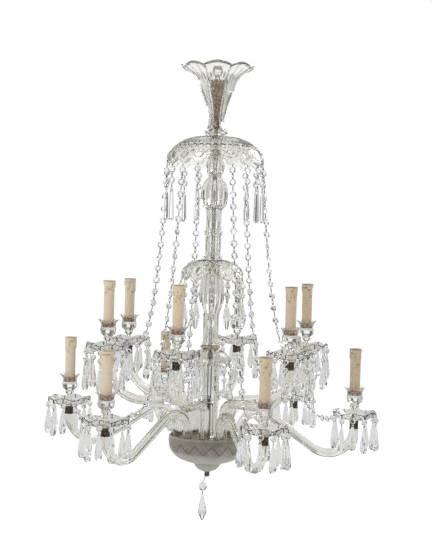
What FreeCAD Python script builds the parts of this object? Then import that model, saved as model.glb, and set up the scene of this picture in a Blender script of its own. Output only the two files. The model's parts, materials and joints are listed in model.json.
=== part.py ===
"""Twelve-light cut glass chandelier, hung by the eye of its central rod.

Millimetres, +Z up, origin at the centre of the hanging eye. Glass parts are threaded on a steel rod and
carried by the finial nut. Twelve glass arms stand in the sockets of a metal plate in two rings, and every
arm ends in a ferrule, a drip dish, a candle cup and a lampholder, all but one with a candle sleeve.
"""
import FreeCAD, Part
import math
import os
import Sketcher

V = FreeCAD.Vector
UP = V(0, 0, 1)

# Driving sizes, in millimetres and degrees. One line each: alias, value.
SIZES = (
    # hanging rod
    ("eye_hole_radius", 8),
    ("eye_wall", 6),
    ("eye_thickness", 7),
    ("rod_radius", 5),
    ("rod_fit", 0.4),
    # top vase and its metal sleeve
    ("vase_rim_rise", 12),
    ("vase_height", 150),
    ("vase_rim_radius", 87),
    ("vase_petal_swing", 2.5),
    ("vase_petal_rise", 4.5),
    ("vase_wall", 3.5),
    ("sleeve_drop", 31),
    ("sleeve_radius", 14),
    ("sleeve_neck_radius", 9.5),
    # glass turnings on the rod, from the top down
    ("collar_height", 15),
    ("collar_radius", 27.5),
    ("hub_thickness", 5),
    ("hub_radius", 22),
    ("spacer_height", 93),
    ("spacer_radius", 22.5),
    ("onion_height", 80),
    ("onion_radius", 33),
    ("tube_height", 115),
    ("tube_ring_radius", 23),
    ("tulip_height", 200),
    ("tulip_radius", 30.5),
    ("washer_height", 9.5),
    ("washer_radius", 24),
    ("column_height", 121),
    ("column_radius", 24),
    ("disc_height", 5),
    ("disc_radius", 16),
    ("foot_vase_height", 80),
    ("foot_vase_radius", 20),
    # the three canopies
    ("canopy_wall", 4),
    ("top_canopy_radius", 116),
    ("top_canopy_depth", 68),
    ("middle_canopy_radius", 74),
    ("middle_canopy_depth", 48),
    ("lower_canopy_radius", 51),
    ("lower_canopy_depth", 40),
    ("scallop_swing", 2),
    ("scallop_drop", 5),
    # socket plate and bowl
    ("plate_radius", 86.5),
    ("plate_thickness", 4),
    ("socket_depth", 1.5),
    ("socket_fit", 0.4),
    ("nut_height", 8),
    ("nut_radius", 10),
    ("bowl_radius", 94.5),
    ("bowl_lip_rise", 6),
    ("bowl_depth", 66),
    ("bowl_wall", 4),
    ("bowl_cup_height", 21),
    ("bowl_cup_radius", 34),
    ("finial_height", 12),
    ("finial_radius", 8),
    # arms
    ("arm_radius", 10.8),
    ("arm_end_radius", 9.6),
    ("lower_socket_ring", 74),
    ("lower_arch_radius", 50),
    ("lower_arch_rise", 16),
    ("lower_dip_radius", 60),
    ("lower_reach", 345),
    ("lower_end_rise", 39),
    ("upper_socket_ring", 48),
    ("upper_arch_radius", 30),
    ("upper_arch_rise", 58),
    ("upper_dip_radius", 93),
    ("upper_reach", 248),
    ("upper_end_rise", 183),
    ("lower_first_angle", -10),
    ("upper_first_angle", -44),
    # light fittings, from the arm's end up
    ("ferrule_height", 19),
    ("ferrule_radius", 11),
    ("dish_hub", 6),
    ("dish_radius", 50),
    ("dish_rise", 19),
    ("dish_wall", 3),
    ("dish_lobe_swing", 1.5),
    ("dish_lobe_rise", 2),
    ("cup_height", 72),
    ("cup_lip_radius", 25.5),
    ("cup_body_radius", 19),
    ("cup_depth", 19),
    ("cup_wall", 3),
    ("holder_radius", 9),
    ("candle_length", 109),
    ("candle_radius", 12.5),
    ("candle_wall", 1.4),
    ("wax_cap_radius", 14.5),
    ("wax_cap_length", 26),
    ("holder_set_back", 3),
    # strings, chains and drops
    ("bead_radius", 8.5),
    ("bead_thickness", 8),
    ("small_bead_radius", 7),
    ("wire_radius", 0.9),
    ("bead_pitch", 28.5),
    ("hook_gap", 0.4),
    ("hang_lead", 4),
    ("string_link", 8),
    ("prism_length", 79),
    ("prism_radius", 7.5),
    ("almond_length", 67),
    ("almond_radius", 9),
    ("short_drop_length", 30),
    ("short_drop_radius", 7.5),
    ("dish_drop_length", 62),
    ("dish_drop_radius", 8.5),
    ("dish_drop_lead", 9),
    ("taut_slack", 1.01),
    ("loose_slack", 1.07),
    ("swag_slack", 1.06),
    # bottom pendant
    ("pendant_hook_drop", 13),
    ("pendant_hook_side", 9),
    ("pendant_bead_radius", 11),
    ("pendant_drop_length", 62),
    ("pendant_drop_radius", 10),
)

doc = FreeCAD.newDocument("chandelier")
sheet = doc.addObject("Spreadsheet::Sheet", "sizes")
for row, (alias, value) in enumerate(SIZES, 1):
    sheet.set(f"A{row}", alias)
    sheet.set(f"B{row}", str(value))
    sheet.setAlias(f"B{row}", alias)
doc.recompute()


def size(alias):
    """The value of one cell of the sheet."""
    return float(getattr(sheet, alias))


def value_of(expression):
    """The number that an expression on the sheet's cells gives."""
    return float(sheet.evalExpression(expression))


# Faces of cut glass: how many sides each kind of piece has.
TURNING_SIDES = 10
SLEEVE_SIDES = 8
HOLDER_SIDES = 6
CUP_SIDES = 8
DISH_CORNERS = 12
ARM_SIDES = 8
DROP_SIDES = 6
BEAD_SIDES = 6
WIRE_SIDES = 3
PLATE_SIDES = 24
BOWL_SIDES = 20
VASE_PETALS = 8
STEPS_PER_PETAL = 3
TOP_SCALLOPS = 18
SMALL_SCALLOPS = 12
ARMS_PER_TIER = 6


# ---------------------------------------------------------------- solids of flat faces

def regular_ring(radius, height, sides, turn=0.0):
    """The corners of a level regular polygon, counter-clockwise from above."""
    corners = []
    for k in range(sides):
        angle = math.radians(turn + 360.0 * k / sides)
        corners.append(V(radius * math.cos(angle), radius * math.sin(angle), height))
    return corners


def lobed_ring(radius, height, lobes, steps, swing, rise, turn=0.0):
    """A ring whose lobes stand out by swing and rise by rise at their middles."""
    corners = []
    for k in range(lobes * steps):
        wave = -math.cos(2 * math.pi * (k + 0.5) / steps) if steps > 2 else (1 if k % 2 == 0 else -1)
        angle = math.radians(turn) + 2 * math.pi * k / (lobes * steps)
        reach = radius + swing * wave
        corners.append(V(reach * math.cos(angle), reach * math.sin(angle), height + rise * wave))
    return corners


def face_of(corners):
    """A flat face through three or more corners."""
    return Part.Face(Part.makePolygon(corners + corners[:1]))


def skin(rings, endless=False):
    """A solid whose wall joins each ring of corners to the next.

    It is closed by a face at both ends or, where it is endless, by a wall from the last ring to the first.
    A ring may be a single point. Corners that don't lie in a plane are joined by two triangles.
    """
    faces = []
    for first, second in zip(rings, rings[1:] + rings[:1] if endless else rings[1:]):
        count = max(len(first), len(second))
        for k in range(count):
            after = (k + 1) % count
            if len(first) == 1:
                faces.append(face_of([first[0], second[after], second[k]]))
            elif len(second) == 1:
                faces.append(face_of([first[k], first[after], second[0]]))
            else:
                faces += quad(first[k], first[after], second[after], second[k])
    for ring in () if endless else (rings[0], rings[-1]):
        if len(ring) > 2:
            faces.append(face_of(ring))
    shell = Part.makeShell(faces)
    shell.sewShape()
    solid = Part.makeSolid(shell)
    if solid.Volume < 0:
        solid.reverse()
    return solid


def quad(a, b, c, d):
    """One face if the four corners are flat, or two triangles."""
    flatness = 1e-6
    normal = (b - a).cross(c - a)
    if abs(normal.dot(d - a)) < flatness * max(normal.Length, 1.0):
        return [face_of([a, b, c, d])]
    return [face_of([a, b, c]), face_of([a, c, d])]


def turned(outline, sides, turn=0.0):
    """A faceted turning from (radius, height) pairs."""
    return skin([regular_ring(radius, height, sides, turn) for radius, height in outline])


def bore_cutter(top, bottom):
    """The clearance hole round the rod, eight-sided, that goes past both ends."""
    over = 1.0
    clear = (size("rod_radius") + size("rod_fit")) / math.cos(math.pi / 8)
    return turned([(clear, bottom - over), (clear, top + over)], 8)


def scaled(outline, top, height, radius):
    """Turns (share of the height from the top, share of the radius) into (radius, height) pairs."""
    return [(radius * share_out, top - height * share_down) for share_down, share_out in outline]


def node(label, shape):
    """One named piece of the document."""
    piece = doc.addObject("Part::Feature", label)
    piece.Label = label
    piece.Shape = shape
    piece.Placement = FreeCAD.Placement()
    nodes.append(piece)
    return piece


nodes = []

# ---------------------------------------------------------------- levels of the stack on the rod

STACK = (
    ("vase", "vase_height"),
    ("collar", "collar_height"),
    ("top_hub", "hub_thickness"),
    ("spacer", "spacer_height"),
    ("onion", "onion_height"),
    ("tube", "tube_height"),
    ("middle_hub", "hub_thickness"),
    ("tulip", "tulip_height"),
    ("washer", "washer_height"),
    ("lower_hub", "hub_thickness"),
    ("column", "column_height"),
    ("disc", "disc_height"),
    ("foot_vase", "foot_vase_height"),
    ("plate", "plate_thickness"),
)
top_of = {}
level_text = {}
level = size("vase_rim_rise")
text = "sizes.vase_rim_rise"
for piece_name, height_alias in STACK:
    top_of[piece_name] = level
    level_text[piece_name] = text
    level -= size(height_alias)
    text += f" - sizes.{height_alias}"
plate_under = level
level_text["plate_under"] = text
plate_top = top_of["plate"]
bowl_top = plate_top + size("bowl_lip_rise")
bowl_under = bowl_top - size("bowl_depth")
bowl_cup_under = bowl_under - size("bowl_cup_height")
finial_under = bowl_cup_under - size("finial_height")


# ---------------------------------------------------------------- metal parts made as bodies

def origin_plane(body, role):
    """One of the body's own base planes."""
    return next(f for f in body.Origin.OriginFeatures if f.Role == role)


def new_body(label):
    body = doc.addObject("PartDesign::Body", label)
    body.Label = label
    nodes.append(body)
    return body


def new_sketch(body, name, role, rise_text=None):
    """A sketch on a base plane of the body, raised along the plane's normal by an expression."""
    sketch = body.newObject("Sketcher::SketchObject", name)
    sketch.AttachmentSupport = [(origin_plane(body, role), "")]
    sketch.MapMode = "FlatFace"
    if rise_text:
        sketch.setExpression("AttachmentOffset.Base.z", rise_text)
    return sketch


def add_circle(sketch, radius_text):
    """A circle about the sketch's origin."""
    radius = value_of(radius_text)
    index = sketch.addGeometry(Part.Circle(V(), UP, radius), False)
    sketch.addConstraint(Sketcher.Constraint("Coincident", index, 3, -1, 1))
    rule = sketch.addConstraint(Sketcher.Constraint("Radius", index, radius))
    sketch.setExpression(f"Constraints[{rule}]", radius_text)


def add_polygon(sketch, sides, radius_text, centre_text=None):
    """A regular polygon on a construction circle, its first corner on the X axis of the sketch."""
    start = value_of(centre_text) if centre_text else 0.0
    radius = value_of(radius_text)
    hoop = sketch.addGeometry(Part.Circle(V(start, 0, 0), UP, radius), True)
    rule = sketch.addConstraint(Sketcher.Constraint("Radius", hoop, radius))
    sketch.setExpression(f"Constraints[{rule}]", radius_text)
    if centre_text:
        sketch.addConstraint(Sketcher.Constraint("PointOnObject", hoop, 3, -1))
        rule = sketch.addConstraint(Sketcher.Constraint("DistanceX", -1, 1, hoop, 3, start))
        sketch.setExpression(f"Constraints[{rule}]", centre_text)
    else:
        sketch.addConstraint(Sketcher.Constraint("Coincident", hoop, 3, -1, 1))
    corners = [V(start, 0, 0) + corner for corner in regular_ring(radius, 0.0, sides)]
    lines = []
    for a, b in zip(corners, corners[1:] + corners[:1]):
        lines.append(sketch.addGeometry(Part.LineSegment(a, b), False))
    for k, line in enumerate(lines):
        after = lines[(k + 1) % sides]
        sketch.addConstraint(Sketcher.Constraint("Coincident", line, 2, after, 1))
        sketch.addConstraint(Sketcher.Constraint("PointOnObject", line, 2, hoop))
        if k:
            sketch.addConstraint(Sketcher.Constraint("Equal", lines[0], line))
    sketch.addConstraint(Sketcher.Constraint("PointOnObject", lines[0], 1, -1))


def add_pad(body, name, sketch, length_text, symmetric=False, downward=False):
    pad = body.newObject("PartDesign::Pad", name)
    pad.Profile = sketch
    pad.setExpression("Length", length_text)
    pad.Midplane = symmetric
    pad.Reversed = downward
    return pad


def make_suspension_rod():
    """The steel rod with its forged hanging eye."""
    body = new_body("suspension_rod")
    ring = new_sketch(body, "eye_outline", "XZ_Plane")
    add_circle(ring, "sizes.eye_hole_radius + sizes.eye_wall")
    add_circle(ring, "sizes.eye_hole_radius")
    add_pad(body, "eye_ring", ring, "sizes.eye_thickness", symmetric=True)
    root_text = "sizes.eye_hole_radius + sizes.eye_wall / 2"
    rod_end_text = level_text["plate_under"]
    below_text = "sizes.bowl_depth - sizes.bowl_lip_rise - sizes.plate_thickness + sizes.bowl_cup_height"
    shank = new_sketch(body, "rod_outline", "XY_Plane", f"-({root_text})")
    add_circle(shank, "sizes.rod_radius")
    length_text = f"-({rod_end_text}) + {below_text} + sizes.finial_height - ({root_text})"
    add_pad(body, "rod", shank, length_text, downward=True)
    return body


def make_socket_plate():
    """The round metal plate with two rings of six sockets for the arms."""
    body = new_body("arm_receiver")
    body.setExpression("Placement.Base.z", level_text["plate_under"])
    disc = new_sketch(body, "plate_outline", "XY_Plane")
    add_polygon(disc, PLATE_SIDES, "sizes.plate_radius")
    add_pad(body, "plate_disc", disc, "sizes.plate_thickness")
    hole = new_sketch(body, "rod_hole", "XY_Plane")
    add_polygon(hole, 8, "(sizes.rod_radius + sizes.rod_fit) / cos(22.5 deg)")
    pocket = body.newObject("PartDesign::Pocket", "rod_pocket")
    pocket.Profile = hole
    pocket.Type = "ThroughAll"
    pocket.Midplane = True
    socket_text = "(sizes.arm_radius + sizes.socket_fit) / cos(22.5 deg)"
    for ring_name, ring_text, angle_text in (
        ("lower", "sizes.lower_socket_ring", "sizes.lower_first_angle"),
        ("upper", "sizes.upper_socket_ring", "sizes.upper_first_angle"),
    ):
        outline = new_sketch(body, f"{ring_name}_socket_outline", "XY_Plane", "sizes.plate_thickness")
        outline.setExpression("AttachmentOffset.Rotation.Angle", f"{angle_text} * 1 deg")
        outline.setExpression("AttachmentOffset.Rotation.Axis.z", "1")
        add_polygon(outline, ARM_SIDES, socket_text, ring_text)
        socket = body.newObject("PartDesign::Pocket", f"{ring_name}_socket")
        socket.Profile = outline
        socket.setExpression("Length", "sizes.socket_depth")
        doc.recompute()
        pattern = body.newObject("PartDesign::PolarPattern", f"{ring_name}_sockets")
        pattern.Originals = [socket]
        pattern.Axis = (origin_plane(body, "Z_Axis"), [""])
        pattern.Angle = 360
        pattern.Occurrences = ARMS_PER_TIER
        body.Tip = pattern
    return body


def make_hex_nut(label, radius_text, height_text, place_text):
    """A hexagon nut with a clearance hole for the rod."""
    body = new_body(label)
    body.setExpression("Placement.Base.z", place_text)
    outline = new_sketch(body, f"{label}_outline", "XY_Plane")
    add_polygon(outline, 6, radius_text)
    add_polygon(outline, 8, "(sizes.rod_radius + sizes.rod_fit) / cos(22.5 deg)")
    add_pad(body, f"{label}_pad", outline, height_text)
    return body


# ---------------------------------------------------------------- glass turnings on the rod

def make_turning(label, stack_name, height_alias, radius_alias, outline, sides=TURNING_SIDES):
    """A cut glass turning threaded on the rod."""
    top = top_of[stack_name]
    height = size(height_alias)
    solid = turned(scaled(outline, top, height, size(radius_alias)), sides)
    return node(label, solid.cut(bore_cutter(top, top - height)))


def make_top_vase():
    """The open top vase: eight petals on a slender trumpet, with the wall's thickness all the way."""
    top = top_of["vase"]
    height = size("vase_height")
    rim = size("vase_rim_radius")
    wall = size("vase_wall")
    # share of the height from the rim, share of the rim's radius, share of the petals' swing
    outside = ((0, 1, 1), (0.09, 0.74, 0.6), (0.21, 0.54, 0.3), (0.38, 0.45, 0), (0.4, 0.41, 0),
               (0.64, 0.27, 0), (0.91, 0.21, 0), (1, 0.26, 0))
    inside = ((1, 0.21, 0), (0.64, 0.27, 0), (0.4, 0.41, 0), (0.21, 0.54, 0.3), (0.09, 0.74, 0.6), (0, 1, 1))
    rings = []
    for outline, inset in ((outside, 0.0), (inside, wall)):
        for down, out, petal in outline:
            swing = petal * size("vase_petal_swing")
            rise = petal * size("vase_petal_rise")
            rings.append(lobed_ring(rim * out - inset, top - height * down, VASE_PETALS, STEPS_PER_PETAL,
                                    swing, rise))
    return node("top_vase", skin(rings, endless=True))


def make_bronze_sleeve():
    """The tapered metal sleeve in the vase, round the rod."""
    top = top_of["collar"] + size("vase_height") - size("sleeve_drop")
    bottom = top_of["collar"]
    height = top - bottom
    radius = size("sleeve_radius")
    neck = size("sleeve_neck_radius")
    outline = [(radius, top), (radius * 0.95, top - height * 0.15), (neck * 1.25, top - height * 0.6),
               (neck, top - height * 0.66), (neck, bottom)]
    solid = turned(outline, TURNING_SIDES)
    return node("bronze_sleeve", solid.cut(bore_cutter(top, bottom)))


def make_canopy(label, stack_name, radius_alias, depth_alias, profile, scallops, turn):
    """A domed glass shell with a scalloped rim and a flat hub that the rod goes through."""
    top = top_of[stack_name]
    radius = size(radius_alias)
    depth = size(depth_alias)
    wall = size("canopy_wall")
    hub_radius = size("hub_radius")
    outside = [regular_ring(hub_radius, top, scallops * 2, turn)]
    inside = [regular_ring(hub_radius, top - size("hub_thickness"), scallops * 2, turn)]
    for down, out, wave in profile:
        swing = wave * size("scallop_swing")
        rise = -wave * size("scallop_drop")
        z = top - depth * down
        outside.append(lobed_ring(radius * out, z, scallops, 2, swing, rise, turn))
        inner = radius * out - wall * min(1, down * 2)
        inside.append(lobed_ring(inner, z - wall * (1 - down), scallops, 2, swing, rise, turn))
    return node(label, skin(outside + inside[::-1]).cut(bore_cutter(top, top - depth)))


def make_bowl():
    """The frosted bowl under the socket plate, with a flat hub in its floor."""
    wall = size("bowl_wall")
    profile = ((0, 0.975), (0.2, 1.0), (0.52, 0.9), (0.78, 0.69), (1, 0.33))
    outline = scaled(profile, bowl_top, size("bowl_depth"), size("bowl_radius"))
    inner = [(radius - wall, z + wall * k / (len(outline) - 1)) for k, (radius, z) in enumerate(outline)]
    solid = turned(outline[::-1] + inner, BOWL_SIDES)
    return node("bowl", solid.cut(bore_cutter(bowl_top, bowl_under)))


def make_bowl_cup():
    """The small glass cup that closes the bowl from below."""
    height = size("bowl_cup_height")
    outline = ((0, 0.97), (0.25, 1), (0.45, 0.88), (0.85, 0.5), (1, 0.36))
    solid = turned(scaled(outline, bowl_under, height, size("bowl_cup_radius")), TURNING_SIDES)
    return node("bowl_cup", solid.cut(bore_cutter(bowl_under, bowl_cup_under)))


# ---------------------------------------------------------------- arms

def arm_path(tier):
    """Stations (radius, height) along an arm's centre line, and each station's direction.

    The arm rises straight from its socket, arches over, runs straight to its dip and turns up to the light.
    """
    start = size(f"{tier}_socket_ring")
    foot = plate_top - size("socket_depth")
    arch = size(f"{tier}_arch_radius")
    dip = size(f"{tier}_dip_radius")
    arch_at = (start + arch, plate_top + size(f"{tier}_arch_rise"))
    end_z = plate_top + size(f"{tier}_end_rise")
    dip_at = (size(f"{tier}_reach") - dip, end_z)
    across = dip_at[0] - arch_at[0]
    rise = dip_at[1] - arch_at[1]
    slope = math.atan2(rise, across) - math.asin((arch + dip) / math.hypot(across, rise))
    arch_steps = 3
    dip_steps = 4
    stations = [(start, foot, math.pi / 2)]
    for k in range(arch_steps + 1):
        angle = math.pi + (slope - math.pi / 2) * k / arch_steps
        point = (arch_at[0] + arch * math.cos(angle), arch_at[1] + arch * math.sin(angle))
        stations.append((*point, angle - math.pi / 2))
    for k in range(dip_steps + 1):
        angle = slope - math.pi / 2 + (math.pi / 2 - slope) * k / dip_steps
        point = (dip_at[0] + dip * math.cos(angle), dip_at[1] + dip * math.sin(angle))
        stations.append((*point, angle + math.pi / 2))
    return stations


def make_arm_solid(tier):
    """An eight-sided glass arm in the XZ plane, a little slimmer towards its light."""
    stations = arm_path(tier)
    root = size("arm_radius")
    tip = size("arm_end_radius")
    rings = []
    for k, (radius, height, heading) in enumerate(stations):
        thick = root + (tip - root) * k / (len(stations) - 1)
        out = V(-math.sin(heading), 0, math.cos(heading))
        centre = V(radius, 0, height)
        corners = []
        for side in range(ARM_SIDES):
            angle = 2 * math.pi * (side + 0.5) / ARM_SIDES
            corners.append(centre + out * (thick * math.cos(angle)) + V(0, thick * math.sin(angle), 0))
        rings.append(corners)
    return skin(rings)


# The light whose candle sleeve is lost; its lampholder stands bare.
BARE_LIGHT = ("upper", 2)

# How far each upper arm is turned in its socket, by hand, in degrees.
ARM_TURNS = {"lower": (0, 0, 0, 0, 0, 0), "upper": (0, 3.7, -2.5, 12.4, 0, -3.7)}


def arm_placement(tier, number):
    """Carries a piece from the XZ plane to arm number's place."""
    angle = size(f"{tier}_first_angle") + 360.0 * number / ARMS_PER_TIER
    socket = V(size(f"{tier}_socket_ring"), 0, 0)
    round_rod = FreeCAD.Placement(V(), FreeCAD.Rotation(UP, angle))
    in_socket = FreeCAD.Placement(V(), FreeCAD.Rotation(UP, ARM_TURNS[tier][number]), socket)
    return round_rod.multiply(in_socket)


def fitting_places():
    """The placement of every arm's end, with the arm's end at the origin."""
    places = []
    for tier in ("lower", "upper"):
        end = FreeCAD.Placement(V(size(f"{tier}_reach"), 0, plate_top + size(f"{tier}_end_rise")),
                                FreeCAD.Rotation())
        for number in range(ARMS_PER_TIER):
            places.append((tier, number, arm_placement(tier, number).multiply(end)))
    return places


def placed(solid, placement):
    copy = solid.copy()
    copy.transformShape(placement.Matrix, True)
    return copy


def on_every_arm(label, solid, without=None):
    """The same piece on all twelve arms, or on all but one, as one node of many solids."""
    places = [place for tier, number, place in fitting_places() if (tier, number) != without]
    return node(label, Part.makeCompound([placed(solid, place) for place in places]))


# ---------------------------------------------------------------- light fittings, arm's end at the origin

dish_under = size("ferrule_height")
dish_top = dish_under + size("dish_hub")
cup_top = dish_top + size("cup_height")
cup_floor = cup_top - size("cup_depth")


def ferrule_solid():
    radius = size("ferrule_radius")
    height = size("ferrule_height")
    return turned([(radius * 0.94, 0), (radius, height)], CUP_SIDES)


def dish_solid():
    """The drip dish: a flat hub and a wavy rim that curls up."""
    radius = size("dish_radius")
    rise = size("dish_rise")
    wall = size("dish_wall")
    hub = size("ferrule_radius") + 1.0
    swing = size("dish_lobe_swing")
    wave = size("dish_lobe_rise")
    outline = (
        (hub, dish_under, 0),
        (radius * 0.72, dish_under + rise * 0.3, 0.3),
        (radius, dish_under + rise, 1),
        (radius - wall * 0.6, dish_under + rise + wall, 1),
        (radius * 0.62, dish_top, 0),
    )
    lobes = DISH_CORNERS // 2
    turn = 360.0 / DISH_CORNERS
    return skin([lobed_ring(r, z, lobes, 2, swing * w, wave * w, turn) for r, z, w in outline])


def cup_solid():
    """The candle cup: a stem with a knop, a round body and a flared lip, hollow for the candle."""
    lip = size("cup_lip_radius")
    body = size("cup_body_radius")
    wall = size("cup_wall")
    height = size("cup_height")
    foot = size("ferrule_radius") * 0.9
    outline = (
        (foot, dish_top),
        (body * 0.36, dish_top + height * 0.36),
        (body * 0.74, dish_top + height * 0.48),
        (body, dish_top + height * 0.8),
        (lip, cup_top),
        (lip - wall, cup_top),
        (body - wall, cup_floor),
    )
    return skin([regular_ring(r, z, CUP_SIDES) for r, z in outline])


def lampholder_solid():
    top = cup_floor + size("candle_length") - size("holder_set_back")
    return turned([(size("holder_radius"), cup_floor), (size("holder_radius"), top)], HOLDER_SIDES)


def candle_sleeve_solid():
    """A waxed card tube; the wax that has run down its top stands round it as a cap."""
    outer = size("candle_radius")
    inner = outer - size("candle_wall")
    top = cup_floor + size("candle_length")
    over = 1.0
    cap = size("wax_cap_radius")
    cap_foot = top - size("wax_cap_length")
    cap_shoulder = cap_foot + cap - outer
    tube = turned([(outer, cup_floor), (outer, cap_foot), (cap, cap_shoulder), (cap, top)], SLEEVE_SIDES)
    return tube.cut(turned([(inner, cup_floor - over), (inner, top + over)], SLEEVE_SIDES))


# ---------------------------------------------------------------- beads, wires and drops

def frame_of(direction, facing):
    """A right-handed frame: along the direction, its face towards facing, and across."""
    along = V(direction).normalize()
    across = along.cross(V(facing))
    across.normalize()
    return along, across.cross(along), across


def bead_solid(centre, radius, direction, facing):
    """A flat cut bead: facets on both faces, strung through two opposite corners."""
    along, front, across = frame_of(direction, facing)
    half = size("bead_thickness") / 2
    rim = []
    for k in range(BEAD_SIDES):
        angle = 2 * math.pi * k / BEAD_SIDES
        rim.append(centre + along * (radius * math.cos(angle)) + across * (radius * math.sin(angle)))
    return skin([[centre - front * half], rim, [centre + front * half]])


def wire_solid(start, end):
    """A short hanging wire, thickest in its middle."""
    along, front, across = frame_of(end - start, V(0.3, 1, 0.1))
    middle = (start + end) * 0.5
    waist = []
    for k in range(WIRE_SIDES):
        angle = 2 * math.pi * k / WIRE_SIDES
        waist.append(middle + front * (size("wire_radius") * math.cos(angle))
                     + across * (size("wire_radius") * math.sin(angle)))
    return skin([[start], waist, [end]])


def drop_solid(top, outline, length, radius):
    """A hanging drop with six facets: (share of the length, share of the radius) from its top."""
    rings = [[top]]
    for down, out in outline:
        rings.append([top + corner for corner in regular_ring(radius * out, -length * down, DROP_SIDES)])
    rings.append([top + V(0, 0, -length)])
    return skin(rings)


PEAR = ((0.62, 1.0),)
ALMOND = ((0.2, 0.55), (0.68, 1.0))
PRISM = ((0.08, 0.55), (0.9, 1.0))


def string_solids(top, beads, bead_radius, lead, outline, length, radius, facing):
    """Wires, beads and a drop in a plumb line below a point."""
    solids = []
    point = V(top)
    link = size("string_link")
    for number in range(beads + 1):
        if number == 0 or beads > 1:
            below = point - UP * (lead if number == 0 else link)
            solids.append(wire_solid(point, below))
            point = below
        if number < beads:
            solids.append(bead_solid(point - UP * bead_radius, bead_radius, -UP, facing))
            point = point - UP * (2 * bead_radius)
    solids.append(drop_solid(point, outline, length, radius))
    return solids


def polar(radius, degrees, height):
    angle = math.radians(degrees)
    return V(radius * math.cos(angle), radius * math.sin(angle), height)


def canopy_hole(stack_name, radius_alias, depth_alias, degrees):
    """The point under a scallop's tip where a string hangs."""
    inset = size("canopy_wall") / 2
    tip = size(radius_alias) + size("scallop_swing") - inset
    rim = top_of[stack_name] - size(depth_alias) - size("scallop_drop")
    return polar(tip, degrees, rim)


def hanging_curve(start, end, slack, count):
    """Points at even lengths along a chain of slack times the straight distance, hung from two points."""
    flat = V(end.x - start.x, end.y - start.y, 0)
    span = flat.Length
    drop = start.z - end.z
    length = slack * (end - start).Length
    target = math.sqrt(length ** 2 - drop ** 2)
    low, high = span / 60, span * 60
    for _ in range(80):
        middle = math.sqrt(low * high)
        if 2 * middle * math.sinh(span / (2 * middle)) > target:
            low = middle
        else:
            high = middle
    a = middle
    shift = span / 2 + a * math.atanh(drop / length)
    first = a * math.sinh(-shift / a)
    points = []
    for k in range(count + 1):
        u = shift + a * math.asinh((first + length * k / count) / a)
        z = a * (math.cosh((u - shift) / a) - math.cosh(-shift / a))
        points.append(start + flat * (u / span) + V(0, 0, z))
    return points


def chain_solids(start, end, slack):
    """A festoon of cut beads and wires between two points, with a wire at both ends."""
    radius = size("bead_radius")
    length = slack * (end - start).Length
    beads = max(2, round(length / size("bead_pitch")))
    fine = 24
    curve = hanging_curve(start, end, slack, beads * fine)
    pitch = length / beads
    half = fine * radius / pitch
    solids = []
    cuts = [V(start)]
    for number in range(beads):
        middle = fine * number + fine // 2
        centre = curve[middle]
        heading = curve[min(middle + round(half), len(curve) - 1)] - curve[middle - round(half)]
        heading.normalize()
        facing = V(math.sin(2.4 * number) * 0.5, -1, 0.12)
        solids.append(bead_solid(centre, radius, heading, facing))
        cuts += [centre - heading * radius, centre + heading * radius]
    cuts.append(V(end))
    for a, b in zip(cuts[0::2], cuts[1::2]):
        solids.append(wire_solid(a, b))
    return solids


def dish_rim_corner(corner):
    """The lower and the upper edge of a drip dish's rim at one of its corners, odd ones on the lobes."""
    side = 1 if corner % 2 else -1
    radius = size("dish_radius") + side * size("dish_lobe_swing")
    height = dish_under + size("dish_rise") + side * size("dish_lobe_rise")
    wall = size("dish_wall")
    degrees = 360.0 * corner / DISH_CORNERS
    return polar(radius, degrees, height), polar(radius - wall * 0.6, degrees, height + wall)


def place_of(tier, number):
    return next(place for t, n, place in fitting_places() if (t, n) == (tier, number))


def festoon_end(tier, number, corner):
    """Where a festoon hooks on top of a dish's rim."""
    above = dish_rim_corner(corner)[1]
    return place_of(tier, number).multVec(above + UP * size("hook_gap"))


def swag_end(tier, number, towards):
    """Where a swag hooks beside a dish's rim, at the corner nearest to a point."""
    out = size("hook_gap") + size("dish_wall") * 0.3
    ends = []
    for corner in range(DISH_CORNERS):
        below, above = dish_rim_corner(corner)
        spot = (below + above) * 0.5 + polar(out, 360.0 * corner / DISH_CORNERS, 0)
        ends.append(place_of(tier, number).multVec(spot))
    return min(ends, key=lambda end: (end - towards).Length)


# ---------------------------------------------------------------- building

# The lowest canopy is turned so that its strings hang midway between the upper arms.
lower_canopy_turn = size("upper_first_angle") + 180.0 / ARMS_PER_TIER

make_suspension_rod()
make_top_vase()
make_bronze_sleeve()
make_turning("trumpet_collar", "collar", "collar_height", "collar_radius",
             ((0, 0.82), (0.35, 1), (1, 0.94)))
DOME = ((0.08, 0.5, 0), (0.38, 0.83, 0), (0.75, 0.975, 0), (1, 1, 1))
SMALL_DOME = ((0.12, 0.62, 0), (0.5, 0.9, 0), (1, 1, 1))
make_canopy("top_canopy", "top_hub", "top_canopy_radius", "top_canopy_depth", DOME, TOP_SCALLOPS,
            size("lower_first_angle"))
make_turning("ball_spacer", "spacer", "spacer_height", "spacer_radius",
             ((0, 0.6), (0.5, 0.62), (0.62, 1), (0.88, 1), (1, 0.72)))
make_turning("onion_baluster", "onion", "onion_height", "onion_radius",
             ((0, 0.5), (0.2, 0.85), (0.5, 1), (0.82, 0.9), (1, 0.62)))
make_turning("ringed_tube", "tube", "tube_height", "tube_ring_radius",
             ((0, 0.8), (0.4, 0.8), (0.44, 1), (0.48, 0.8), (0.93, 0.8), (0.95, 1), (1, 1)))
make_canopy("middle_canopy", "middle_hub", "middle_canopy_radius", "middle_canopy_depth",
            SMALL_DOME, SMALL_SCALLOPS, 0.0)
make_turning("tulip_baluster", "tulip", "tulip_height", "tulip_radius",
             ((0, 0.55), (0.2, 0.85), (0.42, 1), (0.64, 0.62), (0.96, 0.6), (1, 0.68)))
make_turning("gilt_washer", "washer", "washer_height", "washer_radius", ((0, 0.82), (0.5, 1), (1, 0.82)))
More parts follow.
